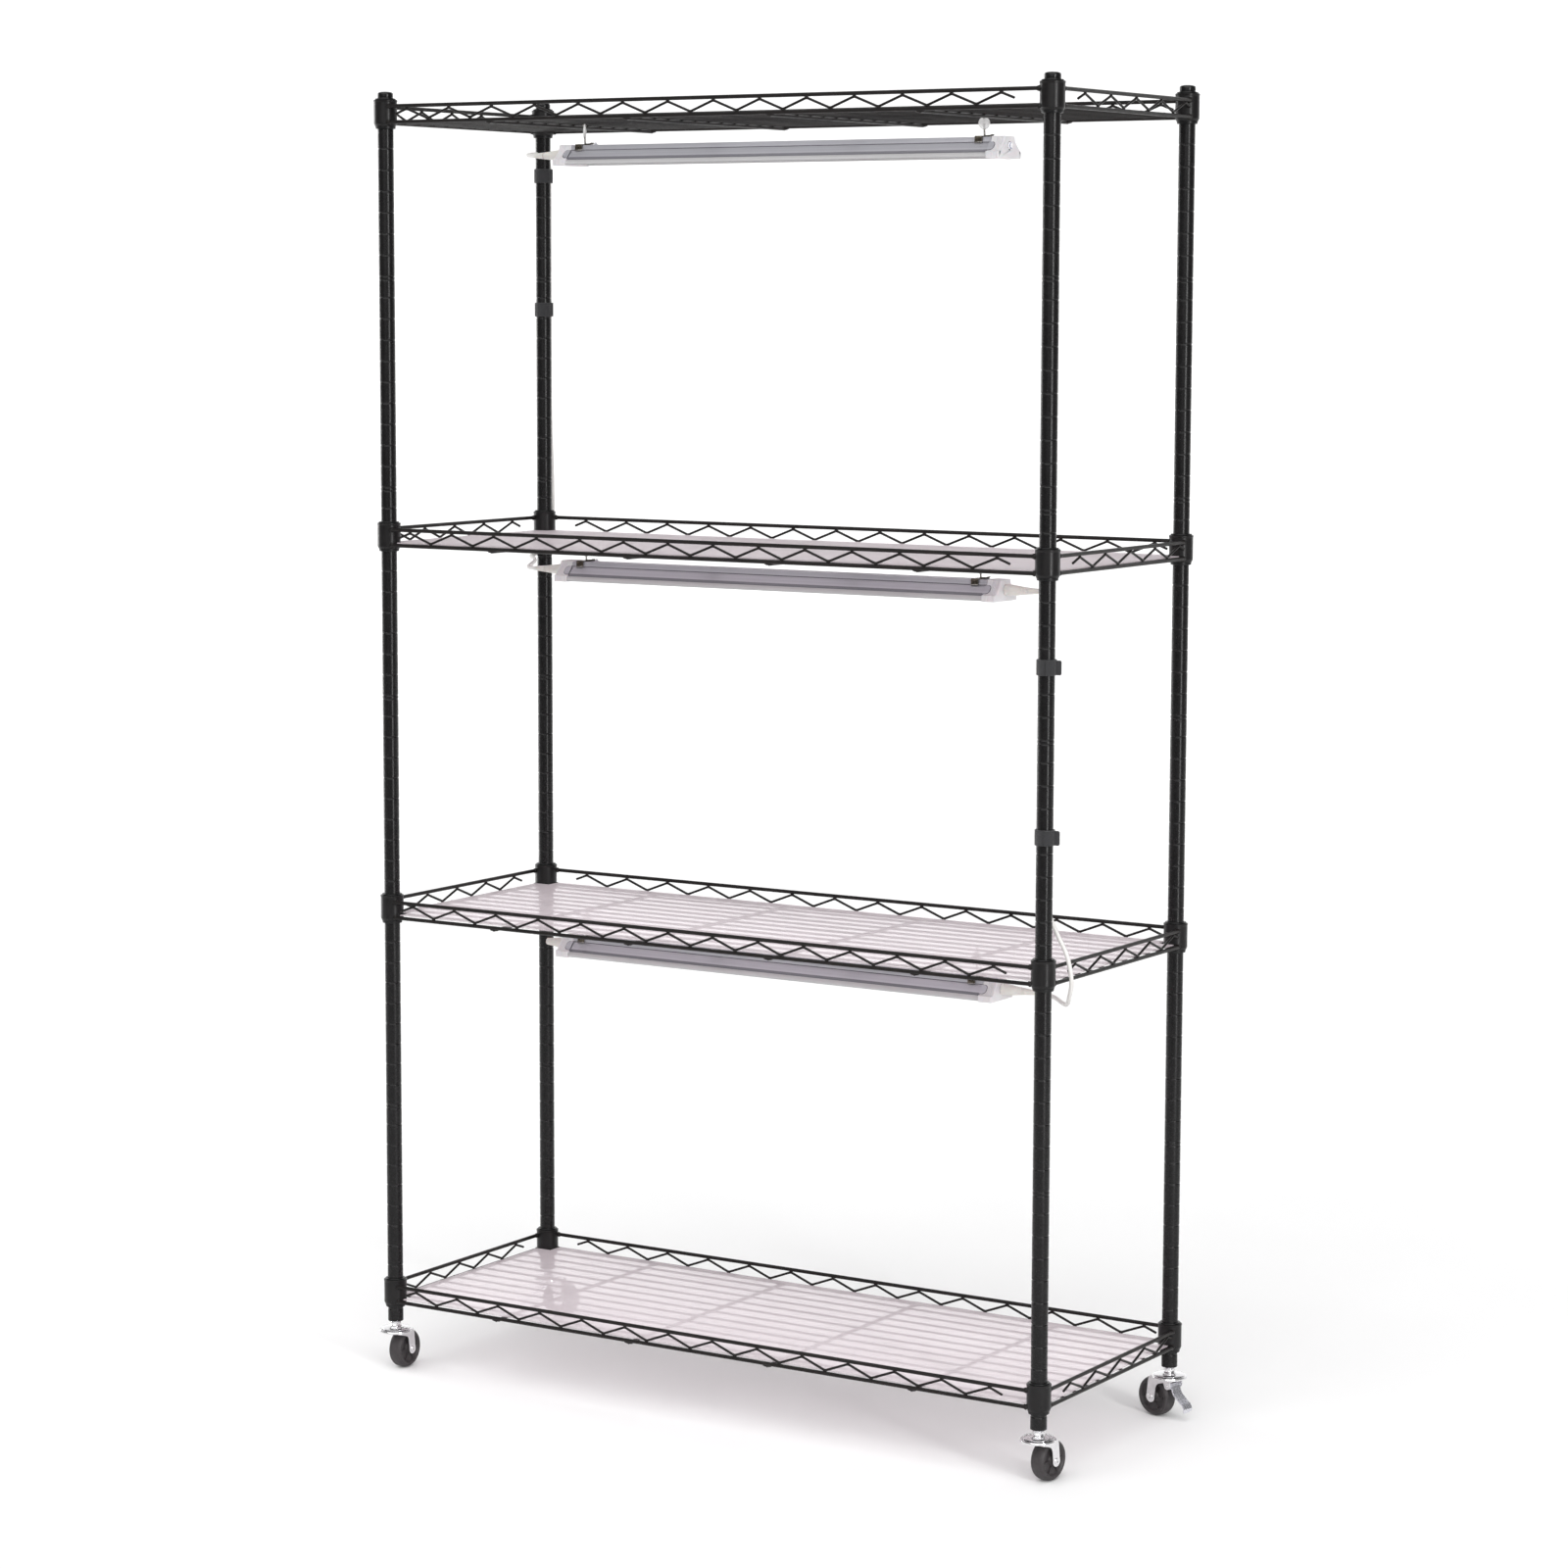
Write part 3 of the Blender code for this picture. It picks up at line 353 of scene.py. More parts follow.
class Nodes:
    """A short way to write a material's nodes."""

    def __init__(self, name):
        self.mat = bpy.data.materials.new(name)
        self.mat.use_nodes = True
        self.tree = self.mat.node_tree
        self.shader = self.tree.nodes["Principled BSDF"]
        self.where = self.tree.nodes.new("ShaderNodeTexCoord").outputs["Object"]

    def link(self, a, b):
        self.tree.links.new(a, b)

    def node(self, kind, inputs=None, **settings):
        node = self.tree.nodes.new(kind)
        for key, value in settings.items():
            setattr(node, key, value)
        for key, value in (inputs or {}).items():
            self.put(node.inputs[key], value)
        return node

    def put(self, socket, value):
        if isinstance(value, bpy.types.NodeSocket):
            self.link(value, socket)
        else:
            socket.default_value = value

    def set(self, **values):
        for key, value in values.items():
            self.put(self.shader.inputs[key.replace("_", " ")], value)

    def scaled(self, scale):
        return self.node("ShaderNodeMapping", {"Vector": self.where, "Scale": scale}).outputs[0]

    def noise(self, scale, detail=3.0, rough=0.55, vector=None):
        inputs = {"Vector": vector or self.where, "Scale": scale, "Detail": detail,
                  "Roughness": rough}
        return self.node("ShaderNodeTexNoise", inputs).outputs[0]

    def ramp(self, value, stops):
        node = self.node("ShaderNodeValToRGB", {"Fac": value})
        band = node.color_ramp
        while len(band.elements) < len(stops):
            band.elements.new(0.5)
        for element, (at, color) in zip(band.elements, stops):
            element.position = at
            if not hasattr(color, "__len__"):
                color = (color,) * 3
            element.color = (*color[:3], 1.0)
        return node.outputs[0]

    def range(self, value, low, high, start=0.0, end=1.0):
        inputs = {"Value": value, "From Min": start, "From Max": end, "To Min": low,
                  "To Max": high}
        return self.node("ShaderNodeMapRange", inputs).outputs[0]

    def bump(self, height, strength, distance, after=None):
        inputs = {"Height": height, "Strength": strength, "Distance": distance}
        if after is not None:
            inputs["Normal"] = after
        return self.node("ShaderNodeBump", inputs).outputs[0]

    def mix(self, share, a, b):
        node = self.node("ShaderNodeMix", data_type="RGBA")
        self.put(node.inputs["Factor"], share)
        for socket, value in ((node.inputs["A"], a), (node.inputs["B"], b)):
            pass
        colors = [s for s in node.inputs if s.type == "RGBA"]
        self.put(colors[0], a)
        self.put(colors[1], b)
        return [s for s in node.outputs if s.type == "RGBA"][0]


def powder_coat(name, dark, light, rough):
    """Black powder coat: fine orange peel, slightly uneven gloss, dust in it."""
    n = Nodes(name)
    patches = n.noise(38.0, 4.0)
    peel = n.noise(1150.0, 2.0, 0.5)
    n.set(Base_Color=n.ramp(patches, [(0.3, dark), (0.75, light)]),
          Roughness=n.range(n.noise(160.0, 4.0), rough[0], rough[1], 0.3, 0.7),
          Normal=n.bump(peel, 0.16, 0.0004))
    n.set(Metallic=0.0, Coat_Weight=0.04, Coat_Roughness=0.12)
    n.shader.inputs["Specular IOR Level"].default_value = 0.25
    return n.mat


def moulded(name, base, tint, rough, grain=900.0, strength=0.10, subsurface=0.0, gloss=0.5):
    """Moulded plastic: fine texture, faint mottling."""
    n = Nodes(name)
    n.shader.inputs["Specular IOR Level"].default_value = gloss
    n.set(Base_Color=n.ramp(n.noise(55.0, 4.0), [(0.30, base), (0.72, tint)]),
          Roughness=n.range(n.noise(220.0, 3.0), rough[0], rough[1], 0.3, 0.7),
          Normal=n.bump(n.noise(grain, 2.0), strength, 0.0003))
    if subsurface:
        n.set(Subsurface_Weight=subsurface, Subsurface_Scale=0.004)
    return n.mat


def brushed(name, base, tint, rough, metallic, along="X"):
    """Drawn or extruded metal, with fine lines along one axis."""
    n = Nodes(name)
    scale = {"X": (6.0, 900.0, 900.0), "Z": (900.0, 900.0, 6.0)}[along]
    lines = n.noise(1.0, 3.0, 0.6, n.scaled(scale))
    n.set(Base_Color=n.ramp(n.noise(1.0, 2.0, 0.5, n.scaled([s / 4 for s in scale])),
                            [(0.25, base), (0.8, tint)]),
          Roughness=n.range(lines, rough[0], rough[1], 0.3, 0.7),
          Normal=n.bump(lines, 0.07, 0.0003))
    n.set(Metallic=metallic)
    return n.mat


def plated(name, base, tint, rough):
    """Bright zinc: mirror-like with faint clouding and pressing marks."""
    n = Nodes(name)
    n.set(Base_Color=n.ramp(n.noise(140.0, 4.0), [(0.3, base), (0.7, tint)]),
          Roughness=n.range(n.noise(420.0, 4.0), rough[0], rough[1], 0.3, 0.7),
          Normal=n.bump(n.noise(260.0, 2.0), 0.09, 0.0004))
    n.set(Metallic=1.0)
    return n.mat


def liner_material():
    """Frosted sheet that lets the wires below show as soft lines; its pink tint is painted glow
    from the grow lights.
    """
    n = Nodes("frosted_liner")
    haze = n.noise(14.0, 5.0, 0.6)
    streaks = n.noise(1.0, 3.0, 0.6, n.scaled((3.0, 60.0, 60.0)))
    # The base colour's pink tint is painted glow from the grow lights above the sheet.
    n.set(Base_Color=n.ramp(haze, [(0.25, (0.900, 0.800, 0.845)), (0.75, (0.930, 0.840, 0.880))]),
          Roughness=n.range(streaks, 0.30, 0.46, 0.3, 0.7),
          Alpha=n.range(haze, 0.43, 0.46, 0.3, 0.7),
          Normal=n.bump(n.noise(650.0, 2.0), 0.10, 0.0003))
    n.set(Subsurface_Weight=0.0, IOR=1.49)
    return n.mat


def clear_material():
    """Clear moulded plastic, a little milky and pitted."""
    n = Nodes("clear_plastic")
    n.set(Base_Color=n.ramp(n.noise(90.0, 3.0), [(0.3, (0.70, 0.69, 0.69)),
                                                 (0.7, (0.84, 0.83, 0.83))]),
          Roughness=n.range(n.noise(400.0, 3.0), 0.16, 0.28, 0.3, 0.7),
          Alpha=n.range(n.noise(700.0, 2.0), 0.52, 0.72, 0.3, 0.7),
          Normal=n.bump(n.noise(800.0, 2.0), 0.25, 0.0004))
    return n.mat


def weave_material():
    """Black hook-and-loop tape: short pile over a woven ground."""
    n = Nodes("hook_and_loop")
    pile = n.noise(2600.0, 3.0, 0.7)
    threads = n.node("ShaderNodeTexWave", {"Vector": n.where, "Scale": 420.0, "Distortion": 1.4},
                     bands_direction="Z").outputs[1]
    first = n.bump(threads, 0.35, 0.0004)
    n.set(Base_Color=n.ramp(pile, [(0.3, (0.006, 0.006, 0.007)), (0.75, (0.030, 0.030, 0.033))]),
          Roughness=n.range(pile, 0.78, 0.96, 0.3, 0.7), Normal=n.bump(pile, 0.7, 0.0006, first))
    n.set(Sheen_Weight=0.25, Sheen_Roughness=0.5)
    return n.mat


def tyre_material():
    """Hard rubber wheel: matt, faintly streaked round the tread."""
    n = Nodes("wheel_rubber")
    streaks = n.noise(1.0, 3.0, 0.6, n.scaled((90.0, 900.0, 90.0)))
    n.set(Base_Color=n.ramp(n.noise(120.0, 4.0), [(0.3, (0.018, 0.015, 0.016)),
                                                  (0.75, (0.040, 0.034, 0.036))]),
          Roughness=n.range(streaks, 0.42, 0.62, 0.3, 0.7),
          Normal=n.bump(n.noise(800.0, 3.0), 0.14, 0.0004))
    return n.mat


MATS = {
    "post": powder_coat("post_powder_coat", (0.0034, 0.0031, 0.0033), (0.0062, 0.0056, 0.0060),
                        (0.23, 0.31)),
    "wire": powder_coat("wire_powder_coat", (0.0042, 0.0033, 0.0031), (0.0095, 0.0070, 0.0064),
                        (0.30, 0.42)),
    "collar": powder_coat("collar_powder_coat", (0.0046, 0.0042, 0.0044),
                          (0.0090, 0.0080, 0.0084), (0.27, 0.38)),
    "sleeve": moulded("sleeve_plastic", (0.0035, 0.0035, 0.0038), (0.0070, 0.0070, 0.0073),
                      (0.30, 0.40), gloss=0.28),
    "cap": moulded("cap_plastic", (0.0035, 0.0035, 0.0038), (0.0066, 0.0066, 0.0070),
                   (0.20, 0.28), gloss=0.30),
    "liner": liner_material(),
    "aluminium": brushed("hood_aluminium", (0.52, 0.515, 0.56), (0.62, 0.615, 0.66),
                         (0.30, 0.42), 0.65),
    "seam": moulded("hood_seam", (0.10, 0.095, 0.11), (0.17, 0.16, 0.18), (0.45, 0.60)),
    "lip": brushed("lower_lip", (0.56, 0.55, 0.56), (0.64, 0.63, 0.64), (0.34, 0.46), 0.35),
    # A darker copy of the hood aluminium for the skirt: painted shade.
    "shade": brushed("hood_skirt_painted_shade", (0.17, 0.165, 0.19), (0.24, 0.235, 0.26), (0.34, 0.46), 0.5),
    "lens": moulded("milky_lens", (0.86, 0.85, 0.84), (0.93, 0.92, 0.91), (0.26, 0.36),
                    500.0, 0.05, 0.15),
    "end_cap": moulded("end_cap_plastic", (0.66, 0.64, 0.66), (0.74, 0.72, 0.735),
                       (0.36, 0.48), 700.0, 0.08, 0.1),
    "connector": moulded("connector_plastic", (0.66, 0.635, 0.60), (0.75, 0.725, 0.69),
                         (0.38, 0.50), 700.0, 0.08, 0.1),
    "cord": moulded("cord_sheath", (0.68, 0.665, 0.645), (0.77, 0.755, 0.735),
                    (0.40, 0.54), 1200.0, 0.08),
    "strap": weave_material(),
    "hook": plated("hook_wire", (0.16, 0.15, 0.145), (0.42, 0.40, 0.37), (0.16, 0.30)),
    "clip": plated("clip_strip", (0.060, 0.052, 0.042), (0.19, 0.165, 0.13), (0.22, 0.38)),
    "clear": clear_material(),
    "button": moulded("button_plastic", (0.84, 0.84, 0.87), (0.90, 0.90, 0.93), (0.22, 0.32),
                      700.0, 0.05),
    "blue": moulded("blue_ring", (0.010, 0.018, 0.115), (0.022, 0.035, 0.180), (0.25, 0.35)),
    "zinc": plated("bright_zinc", (0.74, 0.735, 0.75), (0.86, 0.85, 0.86), (0.10, 0.22)),
    "zinc_dark": plated("zinc_in_shade", (0.20, 0.20, 0.21), (0.34, 0.34, 0.35), (0.20, 0.36)),
    "tyre": tyre_material(),
    "lever": plated("lever_plate", (0.66, 0.66, 0.72), (0.80, 0.80, 0.85), (0.20, 0.34)),
}


# ---- link cords; routes as in the part's source -------------------------
LINK_CORD_UPPER = [
    (-0.3376, 0.0000, 1.5003), (-0.3520, 0.0020, 1.5006), (-0.3780, 0.0240, 1.5022),
    (-0.4120, 0.0750, 1.5050), (-0.4380, 0.1240, 1.5075), (-0.4560, 0.1458, 1.5085),
    (-0.4700, 0.1550, 1.5085), (-0.4722, 0.1680, 1.5070), (-0.4645, 0.1766, 1.5030),
    (-0.4566, 0.1768, 1.4970), (-0.4555, 0.1762, 1.4915), (-0.4555, 0.1762, 1.4725),
    (-0.4555, 0.1764, 1.4400), (-0.4560, 0.1768, 1.3800), (-0.4555, 0.1762, 1.3229),
    (-0.4555, 0.1762, 1.3029), (-0.4560, 0.1770, 1.2500), (-0.4575, 0.1790, 1.1800),
    (-0.4565, 0.1810, 1.1100), (-0.4560, 0.1812, 1.0600), (-0.4570, 0.1808, 1.0230),
    (-0.4640, 0.1790, 1.0080), (-0.4730, 0.1700, 1.0010), (-0.4720, 0.1560, 0.9985),
    (-0.4590, 0.1430, 0.9970), (-0.4370, 0.1150, 0.9955), (-0.4080, 0.0660, 0.9945),
    (-0.3760, 0.0180, 0.9950), (-0.3540, 0.0010, 0.9953), (-0.3376, 0.0000, 0.9953),
]
LINK_CORD_LOWER = [
    (0.3436, 0.0000, 0.9953), (0.3580, -0.0010, 0.9955), (0.3810, -0.0240, 0.9955),
    (0.4090, -0.0740, 0.9950), (0.4300, -0.1180, 0.9935), (0.4425, -0.1400, 0.9880),
    (0.4482, -0.1500, 0.9740), (0.4484, -0.1508, 0.9500), (0.4484, -0.1508, 0.9355),
    (0.4484, -0.1508, 0.9155), (0.4482, -0.1500, 0.8700), (0.4482, -0.1503, 0.8000),
    (0.4484, -0.1508, 0.7463), (0.4484, -0.1508, 0.7263), (0.4486, -0.1500, 0.6900),
    (0.4520, -0.1450, 0.6500), (0.4610, -0.1400, 0.6240), (0.4690, -0.1350, 0.6040),
    (0.4712, -0.1290, 0.5850), (0.4706, -0.1240, 0.5680), (0.4620, -0.1130, 0.5500),
    (0.4460, -0.0880, 0.5370), (0.4180, -0.0480, 0.5300), (0.3860, -0.0120, 0.5291),
    (0.3620, -0.0005, 0.5291), (0.3436, 0.0000, 0.5291),
]


def smooth_curve(route, step):
    """Evenly spaced points on a centripetal Catmull-Rom curve through the route."""
    points = [Vector(p) for p in route]
    points = [points[0] * 2 - points[1]] + points + [points[-1] * 2 - points[-2]]
    fine = []
    for p0, p1, p2, p3 in zip(points, points[1:], points[2:], points[3:]):
        t = [0.0]
        for a, b in ((p0, p1), (p1, p2), (p2, p3)):
            t.append(t[-1] + (b - a).length ** 0.5)
        for i in range(24):
            u = t[1] + (t[2] - t[1]) * i / 24
            a1 = p0.lerp(p1, (u - t[0]) / (t[1] - t[0]))
            a2 = p1.lerp(p2, (u - t[1]) / (t[2] - t[1]))
            a3 = p2.lerp(p3, (u - t[2]) / (t[3] - t[2]))
            b1 = a1.lerp(a2, (u - t[0]) / (t[2] - t[0]))
            b2 = a2.lerp(a3, (u - t[1]) / (t[3] - t[1]))
            fine.append(b1.lerp(b2, (u - t[1]) / (t[2] - t[1])))
    fine.append(points[-2])
    reach = [0.0]
    for a, b in zip(fine, fine[1:]):
        reach.append(reach[-1] + (b - a).length)
    even, k = [], 0
    count = round(reach[-1] / step) + 1
    for i in range(count):
        goal = reach[-1] * i / (count - 1)
        while k < len(fine) - 2 and reach[k + 1] < goal:
            k += 1
        even.append(fine[k].lerp(fine[k + 1], (goal - reach[k]) / (reach[k + 1] - reach[k])))
    return even


def cord_half(name, line, node):
    """One half of a link cord."""
    shape = Shape()
    tube(shape, line, CORD_R, 16, round_ends=False)
    obj = bpy.data.objects.new(name, shape.mesh(name, [MATS["cord"]]))
    bpy.context.scene.collection.objects.link(obj)
    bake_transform(obj)
    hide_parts(node)
    return obj


def strain_relief(name, line, light):
    """A ribbed, tapered sleeve over the cord where it leaves its plug."""
    ribs = [line[0].lerp(line[1], t / 8) for t in range(8)]
    ribs += [line[1].lerp(line[2], t / 8) for t in range(8)]
    ribs += [line[2].lerp(line[3], t / 8) for t in range(9)]
    radii = []
    for i in range(len(ribs)):
        plain = 0.0041 - 0.0011 * i / (len(ribs) - 1)
        radii.append(plain if i % 4 in (0, 1) else plain - 0.00035)
    shape = Shape()
    tube(shape, ribs, radii, 20, round_ends=False)
    place(name, shape.mesh(name, [MATS["connector"]], 32), light)


def link_cords():
    """Each cord is two halves that meet inside a strap."""
    for node, route, meet, lights in (
        ("link_cord_upper", LINK_CORD_UPPER, "strap_back_left_lower", ("top", "middle")),
        ("link_cord_lower", LINK_CORD_LOWER, "strap_front_right_lower", ("middle", "low")),
    ):
        line = smooth_curve(route, 0.0045)
        split = min(range(len(line)), key=lambda i: (line[i] - middle(meet)).length)
        halves = (line[:split + 1], line[split:][::-1])
        for name, half, light in zip(("_first", "_second"), halves, lights):
            cord_half(node + name, half, node)
            strain_relief(node + name + "_relief", half, "grow_light_" + light)


link_cords()


# ---- posts, sleeves and caps --------------------------------------------


def groove_heights():
    """Every inch down the post; every tenth is a double groove."""
    count = int((GROOVE_TOP - POST_BOTTOM) / GROOVE_PITCH) + 1
    found = []
    for k in range(-2, count):
        z = GROOVE_TOP - GROOVE_PITCH * k
        if z < POST_BOTTOM + 0.006 or z > POST_TOP - 0.004:
            continue
        found.append(z)
        if k % 10 == 6:
            found.append(z - 0.0046)
    return sorted(found)


def post_mesh():
    half, deep = 0.00062, 0.00050
    profile = [(POST_R - 0.0011, POST_BOTTOM + 0.004), (POST_R - 0.0011, POST_BOTTOM),
               (POST_R - 0.0004, POST_BOTTOM), (POST_R, POST_BOTTOM + 0.0004)]
    for z in groove_heights():
        profile += [(POST_R, z - half * 1.7), (POST_R - deep * 0.45, z - half),
                    (POST_R - deep, z - half * 0.45), (POST_R - deep, z + half * 0.45),
                    (POST_R - deep * 0.45, z + half), (POST_R, z + half * 1.7)]
    profile += [(POST_R, POST_TOP - 0.0004), (POST_R - 0.0004, POST_TOP),
                (POST_R - 0.0011, POST_TOP), (POST_R - 0.0011, POST_TOP - 0.004)]
    shape = Shape()
    lathe(shape, profile, 40, closed=True)
    return shape.mesh("post", [MATS["post"]], 50)


def cap_mesh():
    seat, radius = POST_TOP + 0.0003, POST_R - 0.0002
    high = CAP_TOP - seat
    profile = [(0, seat - 0.010), (0.0080, seat - 0.010), (0.0080, seat),
               (radius - 0.0003, seat), (radius, seat + 0.0003), (radius, seat + high * 0.52)]
    for i in range(1, 7):
        a = math.pi / 2 * i / 7
        profile.append((radius - 0.0026 * (1 - math.cos(a)),
                        seat + high * 0.52 + high * 0.36 * math.sin(a)))
    profile += [(radius * 0.55, seat + high * 0.955), (radius * 0.25, seat + high * 0.99),
                (0, seat + high)]
    shape = Shape()
    lathe(shape, profile, 40)
    return shape.mesh("cap", [MATS["cap"]], 50)


def sleeve_mesh():
    """The split plastic sleeve; its lip shows over the collar."""
    top, low = 0.0010, -COLLAR_HEIGHT - 0.0034
    profile = [(POST_R + 0.0001, low), (0.0119, low + 0.0004), (0.0121, low + 0.0018),
               (0.0122, -COLLAR_HEIGHT - 0.0006), (0.0113, -0.0006), (0.0121, 0.0001),
               (0.0124, top - 0.0003), (0.0121, top + 0.0004), (POST_R + 0.0004, top + 0.0006),
               (POST_R + 0.0001, top - 0.0002)]
    shape = Shape()
    lathe(shape, profile, 40, closed=True)
    return shape.mesh("sleeve", [MATS["sleeve"]], 40)


def posts():
    post, cap, sleeve = post_mesh(), cap_mesh(), sleeve_mesh()
    for corner, at in POSTS.items():
        place("post_tube_" + corner, post, "root", at, replaces=["post_" + corner])
        place("post_dome_" + corner, cap, "root", at, replaces=["cap_" + corner])
        for shelf in SHELVES:
            place(f"sleeve_{shelf}_{corner}", sleeve, "root",
                  at + Vector((0, 0, SHELF_TOP[shelf])))


posts()


# ---- wire shelves; heights are from the collars' tops -------------------


def collar(shape, at):
    """A cast collar with a lip at the top and a chamfer at the bottom."""
    profile = [(0.0124, 0.0), (0.0134, 0.0), (0.0139, -0.0002), (COLLAR_R, -0.0006),
               (COLLAR_R, -0.0022), (COLLAR_R - 0.0003, -0.0027), (COLLAR_R - 0.0003, -0.0284),
               (COLLAR_R - 0.0006, -0.0292), (COLLAR_R - 0.0014, -0.0308),
               (COLLAR_R - 0.0018, -0.0315), (0.0128, -0.0315), (0.0124, -0.0311)]
    lathe(shape, profile, 40, at=at, closed=True)


def rail_welds(shape):
    """The lumps of weld where the rails run into the collars."""
    for sx in (-1, 1):
        for sy in (-1, 1):
            for z in (TOP_RAIL, BOTTOM_RAIL):
                seed = sx * 3 + sy * 7 + z * 50
                at = (sx * (POST_X - COLLAR_R * 0.80), sy * (POST_Y + RAIL_OUT * 0.93), z)
                blob(shape, at, (0.0046, 0.0031, 0.0032), rough=0.25, seed=seed)
                at = (sx * (POST_X + RAIL_OUT * 0.93), sy * (POST_Y - COLLAR_R * 0.80), z)
                blob(shape, at, (0.0031, 0.0046, 0.0032), rough=0.25, seed=seed + 1)


def truss_line(first, last, length, peaks):
    high = TOP_RAIL - RAIL_R - TRUSS_R * 0.8
    low = BOTTOM_RAIL + RAIL_R + TRUSS_R * 0.8
    pitch = (length - first - last) / (peaks - 1)
    slope = (high - low) / 2 / 0.016
    tails = [min(0.016, end - 0.0118) for end in (first, last)]
    line = [(first - tails[0], high - slope * tails[0])]
    for i in range(peaks):
        line.append((first + i * pitch, high))
        if i < peaks - 1:
            line.append((first + (i + 0.5) * pitch, low))
    line.append((length - last + tails[1], high - slope * tails[1]))
    return line


def trusses(shape):
    long_side = truss_line(0.039, 0.0585, 2 * POST_X, 14)
    short_side = truss_line(0.058, 0.023, 2 * POST_Y, 5)
    for s in (-1, 1):
        y, x = s * (POST_Y + RAIL_OUT), -s * (POST_X + RAIL_OUT)
        runs = [[(s * POST_X - s * d, y, z) for d, z in long_side],
                [(x, s * POST_Y - s * d, z) for d, z in short_side]]
        for run, wide in zip(runs, ((0.0026, 0.0017, 0.0013), (0.0017, 0.0026, 0.0013))):
            tube(shape, rounded_path(run, 0.0024, 3), TRUSS_R, 10)
            for x_, y_, z_ in run[1:-1]:
                toward = 0.0006 if z_ > (TOP_RAIL + BOTTOM_RAIL) / 2 else -0.0006
                blob(shape, (x_, y_, z_ + toward), wide, 5, 10, 0.2)


def rails(shape):
    x, y = POST_X - COLLAR_R * 0.9, POST_Y - COLLAR_R * 0.9
    for z in (TOP_RAIL, BOTTOM_RAIL):
        for s in (-1, 1):
            wide, deep = s * (POST_Y + RAIL_OUT), s * (POST_X + RAIL_OUT)
            tube(shape, [(-x, wide, z), (x, wide, z)], RAIL_R, 16, False)
            tube(shape, [(deep, -y, z), (deep, y, z)], RAIL_R, 16, False)


def mat_wires(shape):
    pitch = 2 * (POST_Y + RAIL_OUT) / 12
    reach = POST_X + RAIL_OUT + 0.0006
    for i in range(-5, 6):
        y = i * pitch
        tube(shape, [(-reach, y, MAT_Z), (reach, y, MAT_Z)], MAT_WIRE_R, 8)
        for s in (-1, 1):
            blob(shape, (s * (POST_X + RAIL_OUT), y, BOTTOM_RAIL + 0.0004),
                 (0.0021, 0.0030, 0.0021), 5, 10, 0.2)


def supports(shape):
    """Cross supports with flattened ends under the long rails, and weld spots."""
    pitch = 2 * (POST_X - 0.161) / 3
    reach = POST_Y + RAIL_OUT
    gap = 2 * (POST_Y + RAIL_OUT) / 12
    for i in range(4):
        x = -POST_X + 0.161 + i * pitch
        tube(shape, [(x, -reach, SUPPORT_Z + 0.0003), (x, reach, SUPPORT_Z + 0.0003)],
             SUPPORT_R, 12, False)
        for s in (-1, 1):
            blob(shape, (x, s * (reach - 0.0006), SUPPORT_Z + 0.0006),
                 (0.0066, 0.0022, 0.0018), 6, 14, 0.12, i + s)
        for k in range(-5, 6):
            blob(shape, (x, k * gap, (SUPPORT_Z + MAT_Z) / 2), (0.0020, 0.0017, 0.0012),
                 5, 8, 0.15)


def shelves():
    shape = Shape()
    for at in POSTS.values():
        collar(shape, (at.x, at.y, 0))
    shape.slot = 1
    for part in (rail_welds, rails, trusses, mat_wires, supports):
        part(shape)
    mesh = shape.mesh("wire_shelf", [MATS["collar"], MATS["wire"]], 40)
    for name in SHELVES:
        place("wire_shelf_" + name, mesh, "root", (0, 0, SHELF_TOP[name]),
              replaces=["shelf_" + name])


shelves()


# ---- liners -------------------------------------------------------------


def liner_mesh(node):
    """A thin sheet that lies on the wires, with its tents over the hooks."""
    low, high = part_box(node)
    tented = (high.z - low.z) > 0.002
    step_x, step_y = 92, 34
    thick, corner = 0.0011, 0.0160
    nx, ny = POST_X - corner, POST_Y - corner
    xs = sorted(set([-high.x, -nx, nx, high.x] + [low.x + (high.x - low.x) * i / step_x
                                                  for i in range(step_x + 1)]))
    ys = sorted(set([-high.y, -ny, ny, high.y] + [low.y + (high.y - low.y) * i / step_y
                                                  for i in range(step_y + 1)]))
    hooks = [middle(f"light_hook_{side}_top").x for side in SIDES]
    rng = noise.noise(Vector((low.z * 7, 1, 2)))

    def height(x, y):
        z = low.z + 0.00006
        if tented:
            for hook in hooks:
                a = max(0.0, 1 - max(0.0, abs(x - hook) - 0.008) / 0.015)
                b = max(0.0, 1 - max(0.0, abs(y) - 0.005) / 0.013)
                share = min(a, b)
                z += 0.0022 * share * share * (3 - 2 * share)
        wave = noise.noise(Vector((x * 5, y * 9, low.z * 3 + rng)))
        return z + 0.00016 * (wave + 1) * (1 - (abs(x) / high.x) ** 8)

    grid, verts, faces = {}, [], []
    for x in xs:
        for y in ys:
            if abs(x) > nx + 1e-6 and abs(y) > ny + 1e-6:
                continue
            grid[x, y] = len(verts)
            z = height(x, y)
            verts += [(x, y, z), (x, y, z + thick)]
    edges = {}
    for xa, xb in zip(xs, xs[1:]):
        for ya, yb in zip(ys, ys[1:]):
            ring = [(xa, ya), (xb, ya), (xb, yb), (xa, yb)]
            if not all(k in grid for k in ring):
                continue
            faces.append([grid[k] + 1 for k in ring])
            faces.append([grid[k] for k in reversed(ring)])
            for a, b in zip(ring, ring[1:] + ring[:1]):
                edges[a, b] = edges.get((a, b), 0) + 1
    for a, b in edges:
        if (b, a) not in edges:
            faces.append([grid[a], grid[b], grid[b] + 1, grid[a] + 1])
    shape = Shape()
    shape.add(verts, faces)
    return shape.mesh(node, [MATS["liner"]], 40)


def liners():
    for name in SHELVES[1:]:
        node = "liner_" + name
        place("frosted_" + node, liner_mesh(node), "root", replaces=[node])


liners()


# ---- lights; heights are from the light's top ---------------------------


